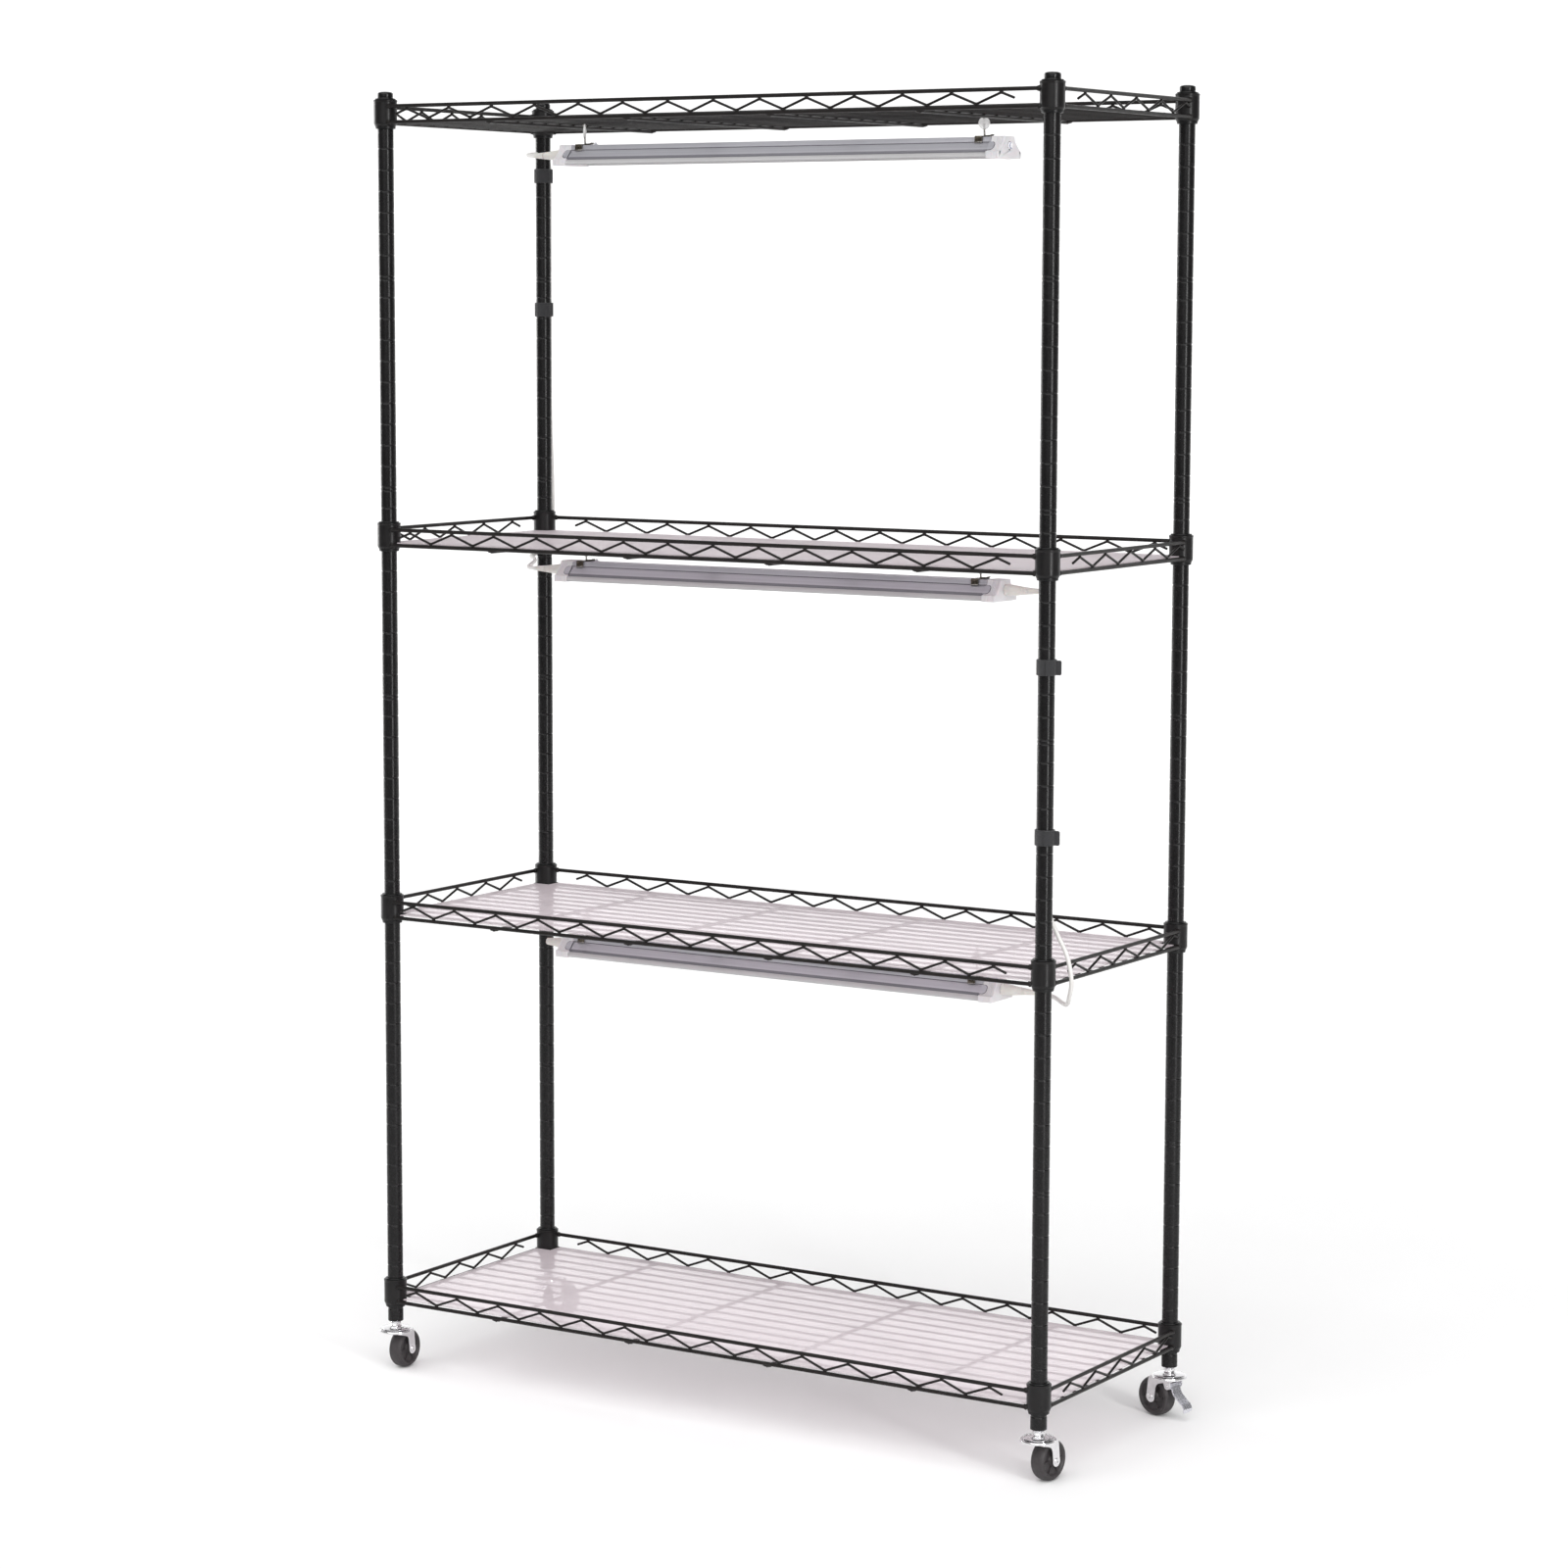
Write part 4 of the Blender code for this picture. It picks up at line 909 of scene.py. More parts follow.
HOOD_SIDE = [(0.0106, 0.0), (0.0112, -0.0006), (0.0121, -0.0057), (0.0118, -0.0062),
             (0.0126, -0.0067), (0.0199, -0.0142), (0.0203, -0.0148), (0.0205, -0.0180)]
LIP = [(0.0200, -0.0176), (0.0208, -0.0176), (0.0243, -0.0206), (0.0245, -0.0210),
       (0.0245, -0.0231), (0.0241, -0.0235), (0.0233, -0.0235), (0.0229, -0.0212),
       (0.0200, -0.0190)]


def hood_mesh(x0, x1):
    """Extruded channel: flat top with two grooves, slanted sides and a short skirt."""
    top = [(0.0000, 0.0), (0.0030, 0.0), (0.0034, -0.0004), (0.0042, -0.0004), (0.0046, 0.0)]
    inner = [(0.0194, -0.0180), (0.0190, -0.0150), (0.0112, -0.0072), (0.0, -0.0064)]
    half = top + HOOD_SIDE + inner
    outline = half + [(-a, b) for a, b in reversed(half) if a > 0]
    shape = Shape()
    extrude(shape, outline, (x0, x1))
    # Slot 2 strips on the skirt take the darker aluminium copy, which is painted shade.
    for slot, strip in ((1, [(0.0121, -0.0056), (0.0126, -0.0060), (0.0122, -0.0065),
                             (0.0117, -0.0061)]),
                        (2, [(0.0196, -0.0143), (0.0203, -0.0145), (0.0209, -0.0154),
                             (0.0211, -0.0180), (0.0200, -0.0182)])):
        shape.slot = slot
        for s in (-1, 1):
            extrude(shape, [(s * a, b) for a, b in strip], (x0, x1))
    return shape.mesh("hood", [MATS["aluminium"], MATS["seam"], MATS["shade"]], 30)


def lip_mesh(x0, x1):
    """The pale lower lip that holds the diffuser, with a bead along its edge."""
    shape = Shape()
    for s in (-1, 1):
        extrude(shape, [(s * a, b) for a, b in LIP], (x0, x1))
    shape.slot = 1
    for s in (-1, 1):
        line = [(x0 + (x1 - x0) * i / 8, s * 0.0240, -0.0231) for i in range(9)]
        tube(shape, line, 0.00045, 8, False)
    return shape.mesh("lower_lip", [MATS["lip"], MATS["seam"]], 30)


def round_corners(wide, high, radius, steps=8):
    """A rectangle from (0, 0) whose two far corners are rounded."""
    points = [(0.0, 0.0), (0.0, high)]
    points += arc((wide - radius, high - radius), radius, 90, 0, steps)
    points += arc((wide - radius, radius), radius, 0, -90, steps)
    return points


def side_plates_mesh(light):
    """The rounded ends of the slanted sides, let into the end caps, with a dark seam."""
    shape = Shape()
    upper, lower = Vector((0.0138, -0.0062)), Vector((0.0226, -0.0163))
    down = (lower - upper).normalized()
    out = Vector((-down.y, down.x))
    for slot, grow, proud in ((1, 0.0006, 0.0002), (0, 0.0, 0.0004)):
        shape.slot = slot
        for side in SIDES:
            s = 1 if side == "right" else -1
            low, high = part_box(f"light_cap_{side}_{light}")
            start = low.x if s > 0 else high.x
            outline = round_corners(0.0078 + grow, 0.0118 + 2 * grow, 0.0046)
            for face in (-1, 1):
                verts = []
                for lift in (-0.0008, proud):
                    for a, b in outline:
                        at = upper + down * (b - grow) + out * lift
                        verts.append((start + s * (a - 0.0010), face * at.x, at.y))
                count = len(outline)
                faces = [[i, (i + 1) % count, count + (i + 1) % count, count + i]
                         for i in range(count)]
                faces += [list(range(count)), list(range(count, 2 * count))]
                shape.add(verts, faces)
    return shape.mesh("side_plates_" + light, [MATS["aluminium"], MATS["seam"]], 30)


def tube_mesh(x0, x1):
    """The milky diffuser, with a seam line along both sides."""
    radius, seam = 0.0075, 0.0003
    outline = []
    for i in range(48):
        a = 2 * math.pi * i / 48
        r = radius - (seam if i in (0, 24) else 0)
        outline.append((r * math.cos(a), r * math.sin(a)))
    shape = Shape()
    extrude(shape, outline, (x0, x1), at=(0, 0, -0.0152))
    return shape.mesh("diffuser", [MATS["lens"]], 40)


CAP_HALF = [(0.0100, 0.0008), (0.0116, 0.0002), (0.0137, -0.0058), (0.0226, -0.0164),
            (0.0256, -0.0168), (0.0262, -0.0174), (0.0262, -0.0238), (0.0256, -0.0245)]


def cap_outline(inset=0.0):
    return mirrored([(max(a - inset, 0), b - inset * 0.5 if b > -0.012 else b + inset * 0.3)
                     for a, b in CAP_HALF])


def end_cap_mesh(node, side, switched):
    """A moulded cap: flange, ribs across it, a domed outer face and, on the switched cap, a round
    bore.
    """
    low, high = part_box(node)
    s = 1 if side == "right" else -1
    inner, outer = (low.x, high.x) if s > 0 else (high.x, low.x)
    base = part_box("light_channel_" + node.split("_")[-1])[1].z
    shape = Shape()
    length = abs(outer - inner)
    steps = [(0.0, 0.0010), (0.0006, 0.0)]
    for i in range(4):
        at = 0.0072 + 0.0021 * i
        steps += [(at, 0.0), (at + 0.0003, 0.0006), (at + 0.0010, 0.0006), (at + 0.0013, 0.0)]
    steps += [(length - 0.0012, 0.0), (length - 0.0004, 0.0004), (length, 0.0012)]
    count = len(cap_outline())
    verts = []
    for along, inset in steps:
        x = inner + s * along
        verts += [(x, y, z) for y, z in cap_outline(inset)]
    faces = []
    for k in range(len(steps) - 1):
        for i in range(count):
            j = (i + 1) % count
            faces.append([k * count + i, k * count + j, (k + 1) * count + j,
                          (k + 1) * count + i])
    faces.append(list(range(count)))
    if switched:
        last = (len(steps) - 1) * count
        ring, hole = bored_end(verts, [last + i for i in range(count)], outer, -0.0100, 0.0050)
        faces += ring
        verts_hole = hole
    else:
        faces.append([(len(steps) - 1) * count + i for i in range(count)])
        verts_hole = []
    shape.add(verts + verts_hole, faces)
    return shape.mesh(node, [MATS["end_cap"]], 28), base


def bored_end(verts, rim, x, z, radius):
    """Faces from the cap's rim to a round bore, and the bore's own wall and floor."""
    sides, depth = 32, 0.0062
    hole, faces = [], []
    base = len(verts)
    for d in (0.0, -0.0002, -depth):
        r = radius + (0.0004 if d == 0.0 else 0.0)
        for i in range(sides):
            a = 2 * math.pi * i / sides
            hole.append((x + d, r * math.cos(a), z + r * math.sin(a)))
    for k in range(2):
        for i in range(sides):
            j = (i + 1) % sides
            faces.append([base + k * sides + i, base + k * sides + j,
                          base + (k + 1) * sides + j, base + (k + 1) * sides + i])
    faces.append([base + 2 * sides + i for i in range(sides)])
    angles = [math.atan2(verts[i][2] - z, verts[i][1]) for i in rim]
    order = sorted(range(len(rim)), key=lambda i: angles[i])
    outer = [(angles[i], rim[i]) for i in order]
    ring = sorted((math.atan2(math.sin(2 * math.pi * i / sides),
                              math.cos(2 * math.pi * i / sides)), base + i)
                  for i in range(sides))
    a, b = 0, 0
    while a < len(outer) or b < len(ring):
        next_a = outer[(a + 1) % len(outer)][0] + 2 * math.pi * ((a + 1) // len(outer))
        next_b = ring[(b + 1) % len(ring)][0] + 2 * math.pi * ((b + 1) // len(ring))
        here_a, here_b = outer[a % len(outer)][1], ring[b % len(ring)][1]
        if b >= len(ring) or (a < len(outer) and next_a < next_b):
            faces.append([here_a, outer[(a + 1) % len(outer)][1], here_b])
            a += 1
        else:
            faces.append([here_a, ring[(b + 1) % len(ring)][1], here_b])
            b += 1
    return faces, hole


def button_mesh():
    """Round push button with a blue part ring and a small raised dot."""
    low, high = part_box("switch_button")
    centre = (low + high) / 2
    face, radius = high.x, (high.y - low.y) / 2
    at = (0, centre.y, centre.z)
    shape = Shape()
    lathe(shape, [(0, low.x), (radius - 0.0002, low.x), (radius - 0.0002, face - 0.0010),
                  (radius - 0.0004, face - 0.0005), (radius - 0.0010, face - 0.0002),
                  (radius - 0.0016, face - 0.0004), (0, face - 0.0007)], 40, "X", at)
    blob(shape, (face - 0.0007, centre.y, centre.z), (0.0006, 0.0011, 0.0011), 6, 16)
    shape.slot = 1
    arc = []
    for i in range(33):
        a = math.radians(100 + 190 * i / 32)
        arc.append((face - 0.0004, centre.y - math.cos(a + math.pi) * 0.0031,
                    centre.z + math.sin(a) * 0.0031))
    tube(shape, arc, 0.00052, 8)
    return shape.mesh("push_button", [MATS["button"], MATS["blue"]], 40)


def wire_hook_mesh(light, side):
    """The hanging wire: a stem on the clip and an open hook over the middle mat wire."""
    top = LIGHT_TOP[light]
    mat_z = SHELF_TOP[SHELVES[LIGHTS.index(light)]] + MAT_Z
    x = middle(f"light_hook_{side}_{light}").x
    loop = MAT_WIRE_R + 0.0013
    stem = [(x + 0.0006, 0, top + 0.0009), (x + 0.0005, 0, top + 0.0040),
            (x, 0.0002, (top + mat_z) / 2), (x, 0.0004, mat_z - loop * 2.2)]
    for degrees in range(215, -60, -11):
        a = math.radians(degrees)
        stem.append((x, loop * math.cos(a), mat_z + loop * math.sin(a)))
    shape = Shape()
    tube(shape, smooth_curve(stem, 0.0008), 0.0011, 12)
    return shape.mesh(f"wire_hook_{side}_{light}", [MATS["hook"]], 50)


def hanger_disc_mesh():
    """A clear moulded disc with a hub, a rim and a groove, moulded on the wire."""
    shape = Shape()
    lathe(shape, [(0, -0.0019), (0.0020, -0.0019), (0.0026, -0.0012), (0.0054, -0.0010),
                  (0.0060, -0.0014), (0.0068, -0.0012), (0.0071, 0.0), (0.0068, 0.0012),
                  (0.0060, 0.0014), (0.0054, 0.0010), (0.0026, 0.0012), (0.0020, 0.0019),
                  (0, 0.0019)], 32, "Y")
    for s in (-1, 1):
        tube(shape, [(s * 0.0022, 0, 0.0050), (s * 0.0024, 0, 0.0078), (s * 0.0015, 0, 0.0096)],
             0.0010, 10)
    return shape.mesh("hanger_disc", [MATS["clear"]], 40)


def clip_mesh(x, top):
    """The strip clipped over the hood: rolled lips below, a raised lever on the top."""
    half, thick, lip, wide = 0.0129, 0.0009, -0.0064, 0.0048
    outer = [(-half - thick, lip + 0.0010), (-half - thick, -0.0004), (-half, 0.0012),
             (half, 0.0012), (half + thick, -0.0004), (half + thick, lip + 0.0010)]
    inner = [(half, lip + 0.0006), (half, -0.0006), (half - 0.0006, 0.0004),
             (-half + 0.0006, 0.0004), (-half, -0.0006), (-half, lip + 0.0006)]
    shape = Shape()
    extrude(shape, outer + inner, (x - wide, x + wide), at=(0, 0, top))
    lever = [(0.0, 0.0011), (0.0080, 0.0011), (0.0100, 0.0023), (0.0097, 0.0033),
             (0.0076, 0.0023), (0.0, 0.0021)]
    extrude(shape, [(x + 0.0018 + a, b) for a, b in lever], (-0.0030, 0.0030), "Y", (0, 0, top))
    shape.slot = 1
    for s in (-1, 1):
        y = s * (half + 0.0007)
        tube(shape, [(x - wide, y, top + lip + 0.0006), (x + wide, y, top + lip + 0.0006)],
             0.0010, 10)
    return shape.mesh("hood_clip", [MATS["clip"], MATS["hook"]], 30)


def nub_mesh(x, top):
    """The small pointed nub on the hood, beside the left clip."""
    shape = Shape()
    lathe(shape, [(0.0048, top - 0.0002), (0.0044, top + 0.0003), (0.0020, top + 0.0013),
                  (0.0011, top + 0.0028), (0.0007, top + 0.0034), (0, top + 0.0036)], 20,
          at=(x, 0, 0))
    return shape.mesh("hood_nub", [MATS["aluminium"]], 50)


def connector_mesh(node):
    """A tapered moulded plug with finger ribs and a ribbed strain relief."""
    low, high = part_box(node)
    s = 1 if high.x > 0 else -1
    start, end = (low.x, high.x) if s > 0 else (high.x, low.x)
    centre = (low + high) / 2
    length = abs(end - start)
    body = [(0, 0), (0.0064, 0.0), (0.0068, 0.0004), (0.0068, 0.0036), (0.0065, 0.0040),
            (0.0065, 0.0047), (0.0068, 0.0051), (0.0067, 0.0078), (0.0063, 0.0120),
            (0.0056, 0.0165), (0.0052, 0.0188)]
    relief, at = [], 0.0188
    while at < length - 0.0026:
        radius = 0.0052 - (at - 0.0188) / (length - 0.0188) * 0.0012
        relief += [(radius, at + 0.0003), (radius, at + 0.0014), (radius - 0.0005, at + 0.0017),
                   (radius - 0.0005, at + 0.0025)]
        at += 0.0028
    tip = [(0.0040, length - 0.0008), (0.0040, length - 0.0002), (0.0037, length), (0, length)]
    shape = Shape()
    lathe(shape, [(r, start + s * a) for r, a in body + relief + tip], 32, "X",
          (0, centre.y, centre.z))
    return shape.mesh(node, [MATS["connector"]], 32)


def lights():
    low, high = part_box("light_channel_top")
    x0, x1 = low.x, high.x
    hood, lip, diffuser = hood_mesh(x0, x1), lip_mesh(x0, x1), tube_mesh(x0, x1)
    disc = hanger_disc_mesh()
    for light in LIGHTS:
        body, top = "grow_light_" + light, LIGHT_TOP[light]
        at = (0, 0, top)
        place("hood_" + light, hood, body, at, replaces=["light_channel_" + light])
        place("lower_lip_" + light, lip, body, at)
        place("side_plates_" + light, side_plates_mesh(light), body, at)
        place("diffuser_" + light, diffuser, body, at,
              replaces=["light_tube_" + light])
        nub_x = middle("light_hook_left_" + light).x + 0.016
        place("hood_nub_" + light, nub_mesh(nub_x, top), body)
        for side in SIDES:
            switched = light == "top" and side == "right"
            node = f"light_cap_{side}_{light}"
            mesh, _ = end_cap_mesh(node, side, switched)
            bevel(place(f"end_cap_{side}_{light}", mesh, body, at,
                        replaces=[node]), 0.0003, 2, 28)
            x = middle(f"light_hook_{side}_{light}").x
            place(f"wire_hook_{side}_{light}", wire_hook_mesh(light, side), body,
                  replaces=[f"light_hook_{side}_{light}"])
            bevel(place(f"hood_clip_{side}_{light}", clip_mesh(x, top), body),
                  0.00015, 1)
            turn = -1.05 if (light, side) == ("top", "left") else 0.1
            height = SHELF_TOP[SHELVES[LIGHTS.index(light)]] + MAT_Z - 0.0096
            place(f"hanger_disc_{side}_{light}", disc, body, (x, 0, height), turn)
            node = f"connector_{side}_{light}"
            if node in frame["nodes"]:
                place(f"plug_{side}_{light}", connector_mesh(node), body,
                      replaces=[node])
    place("push_button", button_mesh(), "switch_button", replaces=["switch_button"])


lights()


# ---- straps -------------------------------------------------------------


def belt(post_r, cord_r, apart, steps=14):
    """The belt line round the post and the cord, with the cord along +X."""
    lean = math.acos((post_r - cord_r) / apart)
    points = []
    for i in range(steps + 1):
        a = -lean + 2 * lean * i / steps
        points.append((apart + cord_r * math.cos(a), cord_r * math.sin(a)))
    for i in range(2 * steps + 1):
        a = lean + (2 * math.pi - 2 * lean) * i / (2 * steps)
        points.append((post_r * math.cos(a), post_r * math.sin(a)))
    return points


def strap_mesh(node, cord_at, tail_turn):
    """A band of tape round post and cord, its end lapped over and standing off."""
    low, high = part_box(node)
    corner = min(POSTS.values(), key=lambda p: (Vector((p.x, p.y)) -
                                                 Vector(((low.x + high.x) / 2,
                                                         (low.y + high.y) / 2))).length)
    centre = Vector((corner.x, corner.y, (low.z + high.z) / 2))
    half = (high.z - low.z) / 2 - 0.0002
    toward = Vector((cord_at[0] - centre.x, cord_at[1] - centre.y))
    turn = math.atan2(toward.y, toward.x)
    post_r, cord_r, thick = POST_R + 0.0003, CORD_R + 0.0002, 0.0016
    rows = [(0.0, -half + 0.0002), (thick * 0.9, -half), (thick, -half + 0.0004),
            (thick * 1.04, 0.0), (thick, half - 0.0004), (thick * 0.9, half),
            (0.0, half - 0.0002)]
    shape = Shape()
    loops = [belt(post_r + out, cord_r + out, toward.length) for out, _ in rows]
    count, verts, faces = len(loops[0]), [], []
    for loop, (_, z) in zip(loops, rows):
        for x, y in loop:
            verts.append((x * math.cos(turn) - y * math.sin(turn),
                          x * math.sin(turn) + y * math.cos(turn), z))
    for k in range(len(rows)):
        m = (k + 1) % len(rows)
        for i in range(count):
            j = (i + 1) % count
            faces.append([k * count + i, k * count + j, m * count + j, m * count + i])
    shape.add(verts, faces)
    lap, a0 = [], math.radians(tail_turn)
    for i in range(12):
        a = a0 - math.radians(62) * (1 - i / 11)
        r = post_r + thick * 1.04 + 0.0007 + 0.0003 * (i / 11) ** 3
        lap.append((r * math.cos(a), r * math.sin(a)))
    way = Vector((math.cos(a0), math.sin(a0)))
    end = Vector(lap[-1])
    for step in (0.0016, 0.0034, 0.0052, 0.0064):
        lap.append(tuple(end + way * step + Vector((-way.y, way.x)) * (step * 0.22)))
    flat_band(shape, lap, half - 0.0006, 0.0006)
    obj_mesh = shape.mesh(node, [MATS["strap"]], 40)
    return obj_mesh, centre


def flat_band(shape, line, half, thick):
    """A strip standing on edge along a line of (x, y) points, with a round end."""
    count = len(line)
    verts, faces = [], []
    for i, (x, y) in enumerate(line):
        a, b = Vector(line[max(i - 1, 0)]), Vector(line[min(i + 1, count - 1)])
        way = (b - a).normalized()
        side = Vector((-way.y, way.x)) * thick
        h = half * (0.82 if i == count - 1 else 1.0)
        for sx, sz in ((1, -1), (1, 1), (-1, 1), (-1, -1)):
            verts.append((x + side.x * sx, y + side.y * sx, h * sz))
    for k in range(count - 1):
        for i in range(4):
            j = (i + 1) % 4
            faces.append([k * 4 + i, k * 4 + j, (k + 1) * 4 + j, (k + 1) * 4 + i])
    faces += [[0, 1, 2, 3], [(count - 1) * 4 + i for i in range(4)]]
    shape.add(verts, faces)


def straps():
    for node, cord_at, tail in (
        ("strap_back_left_upper", (-0.4555, 0.1762), -20),
        ("strap_back_left_lower", (-0.4555, 0.1762), -20),
        ("strap_front_right_upper", (0.4484, -0.1508), -5),
        ("strap_front_right_lower", (0.4484, -0.1508), -5),
    ):
        mesh, centre = strap_mesh(node, cord_at, tail)
        obj = place("tape_" + node[6:], mesh, "root", centre, replaces=[node])
        bevel(obj, 0.0002, 1, 40)


straps()


# ---- casters ------------------------------------------------------------
TRAIL = 0.019
WHEEL_R = 0.024
YOKE_TOP = 0.0525
CHEEK_INSIDE = 0.0103
BRAKE_PIVOT = (-0.0070, 0.0415)


def stem_mesh():
    """Threaded stem's nut, and the domed race plate with its pressed steps."""
    race = YOKE_TOP + 0.0004
    shape = Shape()
    profile = [(0.0034, race), (0.0176, race), (0.0184, race + 0.0003), (0.0185, race + 0.0008),
               (0.0180, race + 0.0012), (0.0160, race + 0.0015), (0.0150, race + 0.0020),
               (0.0142, race + 0.0021), (0.0128, race + 0.0022), (0.0118, race + 0.0027),
               (0.0104, race + 0.0030), (0.0086, race + 0.0031), (0.0076, race + 0.0034),
               (0.0070, race + 0.0040), (0.0064, race + 0.0046), (0.0060, race + 0.0060),
               (0.0062, race + 0.0078), (0.0072, race + 0.0090), (0.0080, race + 0.0098),
               (0.0081, race + 0.0104), (0.0078, race + 0.0108), (0.0080, race + 0.0140),
               (0.0080, race + 0.0300), (0, race + 0.0300)]
    lathe(shape, [(0, race)] + profile, 48)
    nut = []
    for i in range(6):
        a = math.pi / 3 * (i + 0.3)
        nut.append((0.0070 * math.cos(a), 0.0070 * math.sin(a)))
    extrude(shape, nut, (race + 0.0042, race + 0.0072), "Z")
    return shape.mesh("caster_stem", [MATS["zinc"]], 32)


def cheek_outline(braked):
    top = YOKE_TOP - 0.0012
    outline = [(-0.0118, top), (0.0165, top), (0.0200, top - 0.0012), (0.0222, 0.0470),
               (0.0231, 0.0430), (0.0238, 0.0370), (0.0246, 0.0300)]
    outline += arc((TRAIL, WHEEL_R), 0.0066, 30, -190, 20)
    outline += [(0.0120, 0.0300), (0.0112, 0.0362), (0.0096, 0.0398), (0.0070, 0.0420),
                (0.0030, 0.0434), (-0.0012, 0.0446)]
    if braked:
        outline += arc(BRAKE_PIVOT, 0.0042, -20, -160, 10)
    else:
        outline += [(-0.0060, 0.0458), (-0.0108, 0.0474)]
    return outline


def yoke_mesh(braked):
    """Pressed yoke: a dished plate with a rolled rim, two folded legs and rivets."""
    shape = Shape()
    bottom = YOKE_TOP - 0.0035
    plate = [(0.0038, bottom + 0.0008), (0.0190, bottom + 0.0008), (0.0205, bottom),
             (0.0210, bottom + 0.0004), (0.0210, YOKE_TOP - 0.0014), (0.0206, YOKE_TOP - 0.0005),
             (0.0198, YOKE_TOP), (0.0190, YOKE_TOP - 0.0002), (0.0186, YOKE_TOP - 0.0010),
             (0.0038, YOKE_TOP - 0.0010)]
    lathe(shape, plate, 48, closed=True)
    outside = CHEEK_INSIDE + 0.0018
    for s in (-1, 1):
        extrude(shape, cheek_outline(braked), sorted((s * CHEEK_INSIDE, s * outside)), "Y")
        rivet(shape, (TRAIL, WHEEL_R), s * outside, s, 0.0036, 0.0010)
        if braked:
            rivet(shape, BRAKE_PIVOT, s * outside, s, 0.0020, 0.0006)
    lathe(shape, [(0, -CHEEK_INSIDE), (0.0030, -CHEEK_INSIDE), (0.0030, CHEEK_INSIDE),
                  (0, CHEEK_INSIDE)], 24, "Y", (TRAIL, 0, WHEEL_R))
    if braked:
        lathe(shape, [(0, -CHEEK_INSIDE), (0.0017, -CHEEK_INSIDE), (0.0017, CHEEK_INSIDE),
                      (0, CHEEK_INSIDE)], 20, "Y", (BRAKE_PIVOT[0], 0, BRAKE_PIVOT[1]))
    return shape.mesh("caster_yoke", [MATS["zinc"]], 32)


def rivet(shape, at, y, s, radius, proud):
    """A peened head with a dimple."""
    profile = [(radius, 0), (radius, proud * 0.5), (radius * 0.88, proud * 0.9),
               (radius * 0.62, proud), (radius * 0.45, proud * 0.86), (radius * 0.30, proud * 0.45),
               (0, proud * 0.3)]
    lathe(shape, [(0, -0.0004)] + [(r, h) for r, h in profile], 24, "Y", (at[0], y, at[1])) \
        if s > 0 else lathe(shape, [(0, 0.0004)] + [(r, -h) for r, h in profile], 24, "Y",
                            (at[0], y, at[1]))


def wheel_mesh():
    """Turned about Y: crowned tread, dished sides with ribs, and the hub."""
    half = 0.0095
    right = [(0.0036, half), (0.0062, half), (0.0068, half - 0.0003), (0.0070, half - 0.0010),
             (0.0074, half - 0.0026), (0.0082, half - 0.0034), (0.0150, half - 0.0034),
             (0.0165, half - 0.0030), (0.0176, half - 0.0014), (0.0186, half - 0.0006),
             (0.0205, half - 0.0006), (0.0218, half - 0.0012), (0.0229, half - 0.0026),
             (0.0236, half - 0.0044), (0.0239, half - 0.0066), (WHEEL_R, half - 0.0090)]
    profile = right + [(r, -h) for r, h in reversed(right)]
    shape = Shape()
    lathe(shape, profile, 64, "Y", closed=True)
    for s in (-1, 1):
        for k in range(6):
            a = math.pi / 3 * k
            rib = [(0.0070, -0.0006), (0.0160, -0.0006), (0.0160, 0.0006), (0.0070, 0.0006)]
            turned = [(x * math.cos(a) - z * math.sin(a), x * math.sin(a) + z * math.cos(a))
                      for x, z in rib]
            extrude(shape, turned, sorted((s * (half - 0.0038), s * (half - 0.0018))), "Y")
    return shape.mesh("caster_wheel", [MATS["tyre"]], 34)


def plate_strip(shape, path, half_thick, half_wide, corner=0.0):
    """A bent strip along (trail, height) points, with its last corners rounded off."""
    line = rounded_path([(x, 0, z) for x, z in path], 0.0026, 4)
    count, verts, faces = len(line), [], []
    reach = [0.0]
    for a, b in zip(line, line[1:]):
        reach.append(reach[-1] + (b - a).length)
    for i, p in enumerate(line):
        a, b = line[max(i - 1, 0)], line[min(i + 1, count - 1)]
        way = (b - a).normalized()
        out = Vector((-way.z, 0, way.x)) * half_thick
        left = reach[-1] - reach[i]
        wide = half_wide - (corner * (1 - left / corner) ** 2 if left < corner else 0)
        for so, sy in ((1, -1), (1, 1), (-1, 1), (-1, -1)):
            verts.append((p.x + out.x * so, wide * sy, p.z + out.z * so))
    for k in range(count - 1):
        for i in range(4):
            j = (i + 1) % 4
            faces.append([k * 4 + i, k * 4 + j, (k + 1) * 4 + j, (k + 1) * 4 + i])
    faces += [[0, 1, 2, 3], [(count - 1) * 4 + i for i in range(4)]]
    shape.add(verts, faces)


def lever_mesh():
    """Brake pedal: rolled barrel on its pin, shoe and curled tread with grip ribs."""
    width = CHEEK_INSIDE - 0.0004
    shape = Shape()
    lathe(shape, [(0.0021, -width), (0.0030, -width), (0.0032, -width + 0.0002),
                  (0.0032, width - 0.0002), (0.0030, width), (0.0021, width)], 28, "Y",
          closed=True)
    path = [(-0.0028, -0.0002), (-0.0060, -0.0095), (-0.0140, -0.0160), (-0.0205, -0.0200),
            (-0.0235, -0.0260), (-0.0205, -0.0298)]
    plate_strip(shape, path, 0.0008, 0.0074, 0.003)
    plate_strip(shape, [(0.0015, -0.0025), (0.0024, -0.0040), (0.0033, -0.0053)], 0.0010, 0.0060)
    for t in (0.25, 0.5, 0.75):
        x, z = -0.0140 - 0.0065 * t, -0.0160 - 0.0040 * t
        tube(shape, [(x - 0.0004, -0.0052, z + 0.0006), (x - 0.0004, 0.0052, z + 0.0006)],
             0.00055, 8)
    return shape.mesh("brake_pedal", [MATS["lever"]], 32)


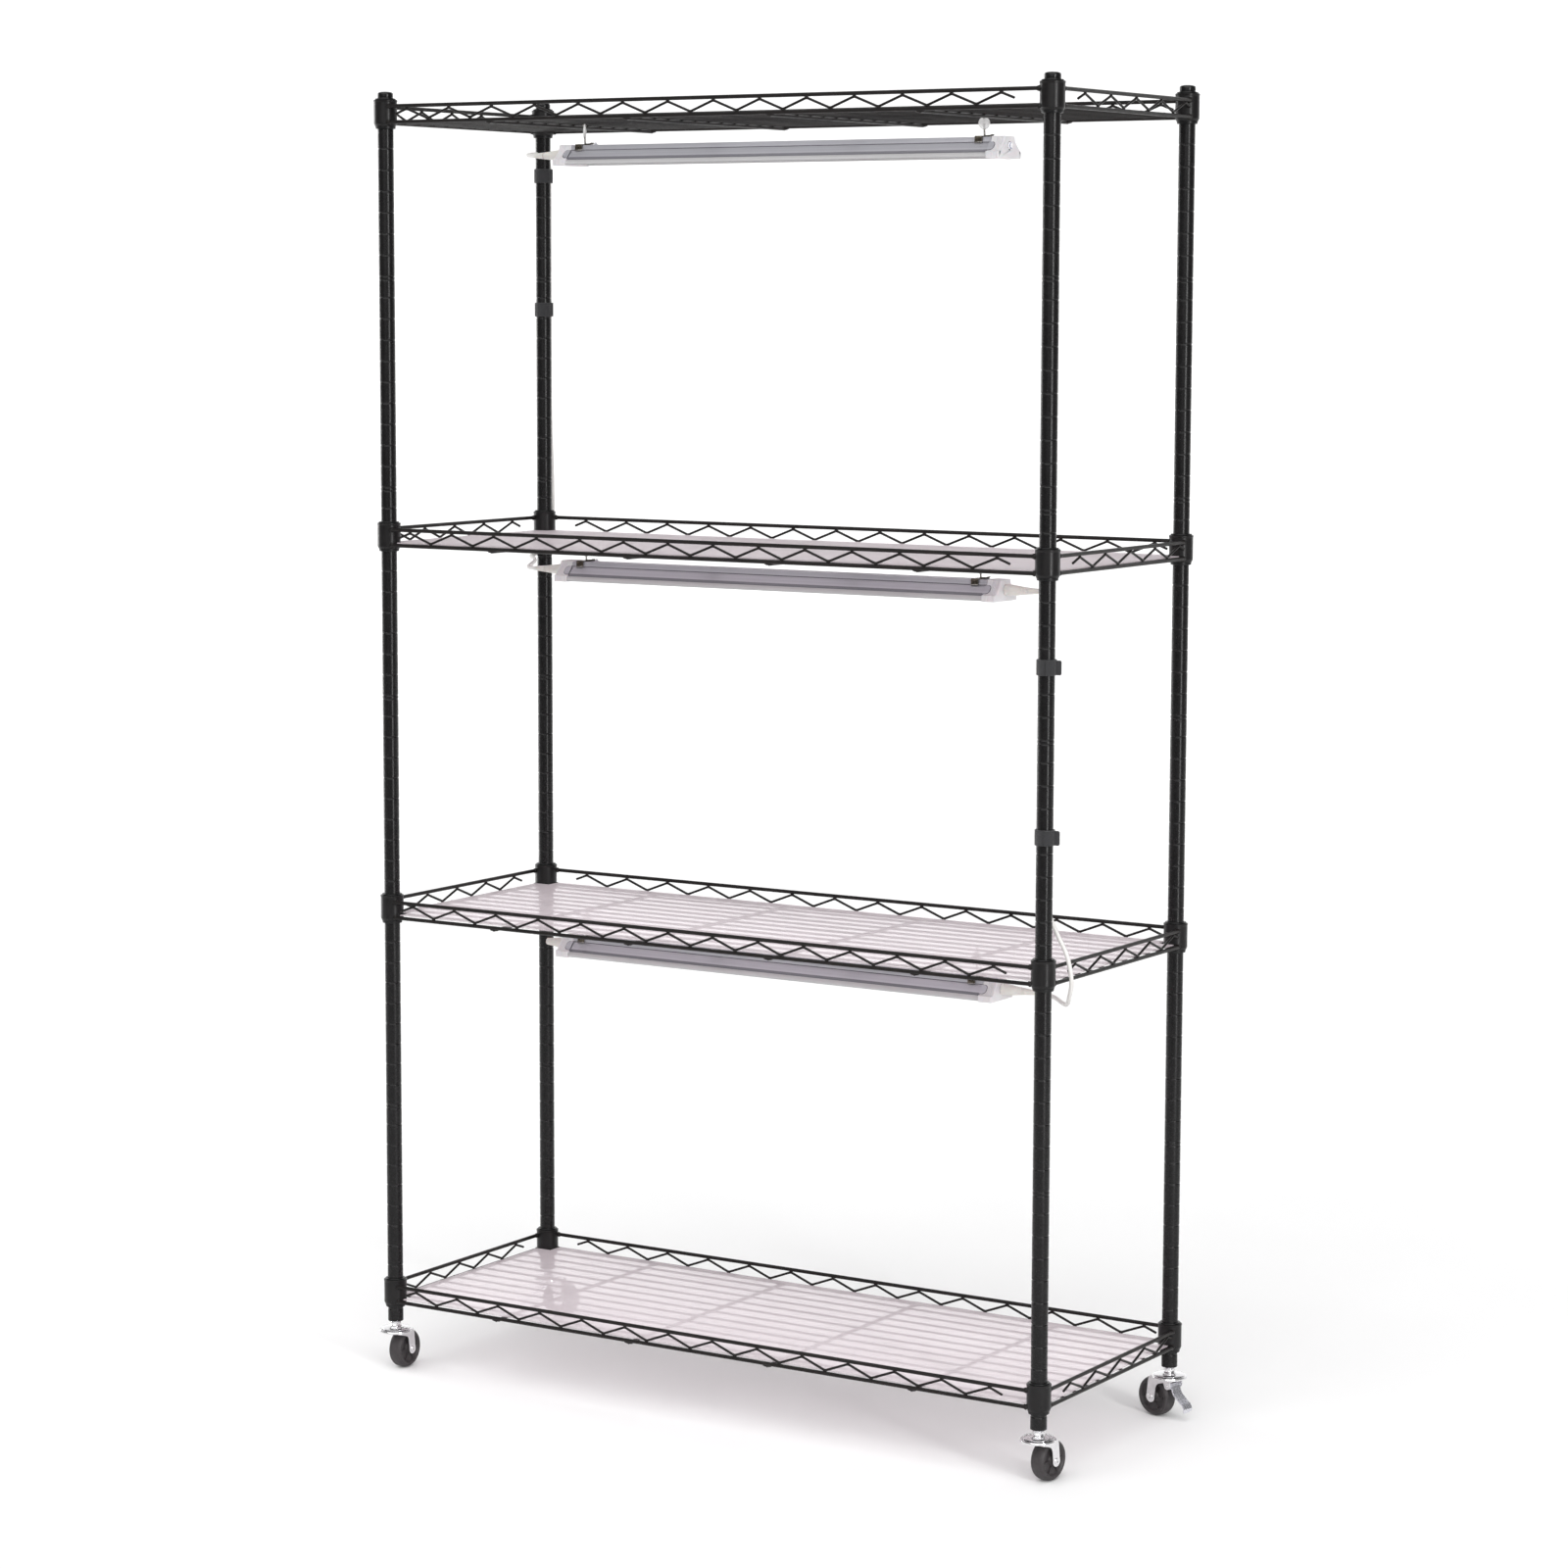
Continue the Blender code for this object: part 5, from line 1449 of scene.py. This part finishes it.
def casters():
    stem, wheel, lever = stem_mesh(), wheel_mesh(), lever_mesh()
    yokes = {False: yoke_mesh(False), True: yoke_mesh(True)}
    for corner, post in POSTS.items():
        braked = "brake_lever_" + corner in frame["nodes"]
        hub = middle("caster_wheel_" + corner)
        turn = math.atan2(hub.y - post.y, hub.x - post.x)
        along = Vector((math.cos(turn), math.sin(turn), 0))
        bevel(place("race_" + corner, stem, "root", post,
                    replaces=["caster_stem_" + corner]), 0.0002, 1, 45)
        bevel(place("yoke_plate_" + corner, yokes[braked], "yoke_" + corner, post, turn,
                    replaces=["caster_yoke_" + corner]), 0.00035, 2, 40)
        place("wheel_" + corner, wheel, "wheel_" + corner,
              post + along * TRAIL + Vector((0, 0, WHEEL_R)), turn,
              replaces=["caster_wheel_" + corner])
        if braked:
            pivot = post + along * BRAKE_PIVOT[0] + Vector((0, 0, BRAKE_PIVOT[1]))
            bevel(place("pedal_" + corner, lever, "lever_" + corner, pivot, turn,
                        replaces=["brake_lever_" + corner]), 0.00025, 2, 40)


casters()


# ---- floor and light ----------------------------------------------------


def floor_material():
    n = Nodes("studio_floor")
    n.set(Base_Color=n.ramp(n.noise(1.4, 2.0), [(0.3, (0.90, 0.90, 0.90)),
                                                (0.7, (0.92, 0.92, 0.92))]),
          Roughness=n.range(n.noise(3.0, 2.0), 0.75, 0.85, 0.3, 0.7))
    return n.mat


def stage():
    """A wide floor that curves up into a pale wall behind the rack."""
    mesh = bpy.data.meshes.new("studio_floor")
    wide, verts, faces = 14.0, [], []
    line = [(-2.6, 0.0), (5.0, 0.0)]
    for i in range(1, 13):
        a = math.pi / 2 * i / 12
        line.append((5.0 + 2.5 * math.sin(a), 2.5 * (1 - math.cos(a))))
    line.append((7.5, 9.0))
    for y, z in line:
        verts += [(-wide, y, z), (wide, y, z)]
    for k in range(len(line) - 1):
        faces.append([2 * k, 2 * k + 1, 2 * k + 3, 2 * k + 2])
    mesh.from_pydata(verts, [], faces)
    mesh.shade_smooth()
    mesh.materials.append(floor_material())
    obj = bpy.data.objects.new("studio_floor", mesh)
    obj.rotation_euler = (0, 0, 0.5)
    bpy.context.scene.collection.objects.link(obj)


def area_light(name, at, toward, size, power, color=(1, 1, 1)):
    data = bpy.data.lights.new(name, "AREA")
    data.shape = "RECTANGLE"
    data.size, data.size_y = size
    data.energy = power
    data.color = color
    obj = bpy.data.objects.new(name, data)
    obj.location = at
    obj.rotation_euler = (Vector(toward) - Vector(at)).to_track_quat("-Z", "Y").to_euler()
    bpy.context.scene.collection.objects.link(obj)


def sun_light(name, way, strength, angle):
    data = bpy.data.lights.new(name, "SUN")
    data.energy = strength
    data.angle = math.radians(angle)
    obj = bpy.data.objects.new(name, data)
    obj.rotation_euler = Vector(way).to_track_quat("Z", "Y").to_euler()
    bpy.context.scene.collection.objects.link(obj)


def world():
    made = bpy.data.worlds.new("studio")
    made.use_nodes = True
    back = made.node_tree.nodes["Background"]
    back.inputs["Color"].default_value = (1.0, 1.0, 1.0, 1.0)
    back.inputs["Strength"].default_value = 0.27
    bpy.context.scene.world = made


def studio():
    stage()
    world()
    sun_light("sky", (0.9, -3.0, 3.2), 2.75, 85)
    area_light("key", (3.7, -1.8, 1.25), (0, 0, 0.80), (0.36, 2.7), 68)
    area_light("rim", (-3.6, 0.2, 1.30), (0, 0, 0.85), (0.30, 2.6), 30)


studio()
bpy.context.scene.view_settings.view_transform = "Standard"

bpy.context.view_layer.update()
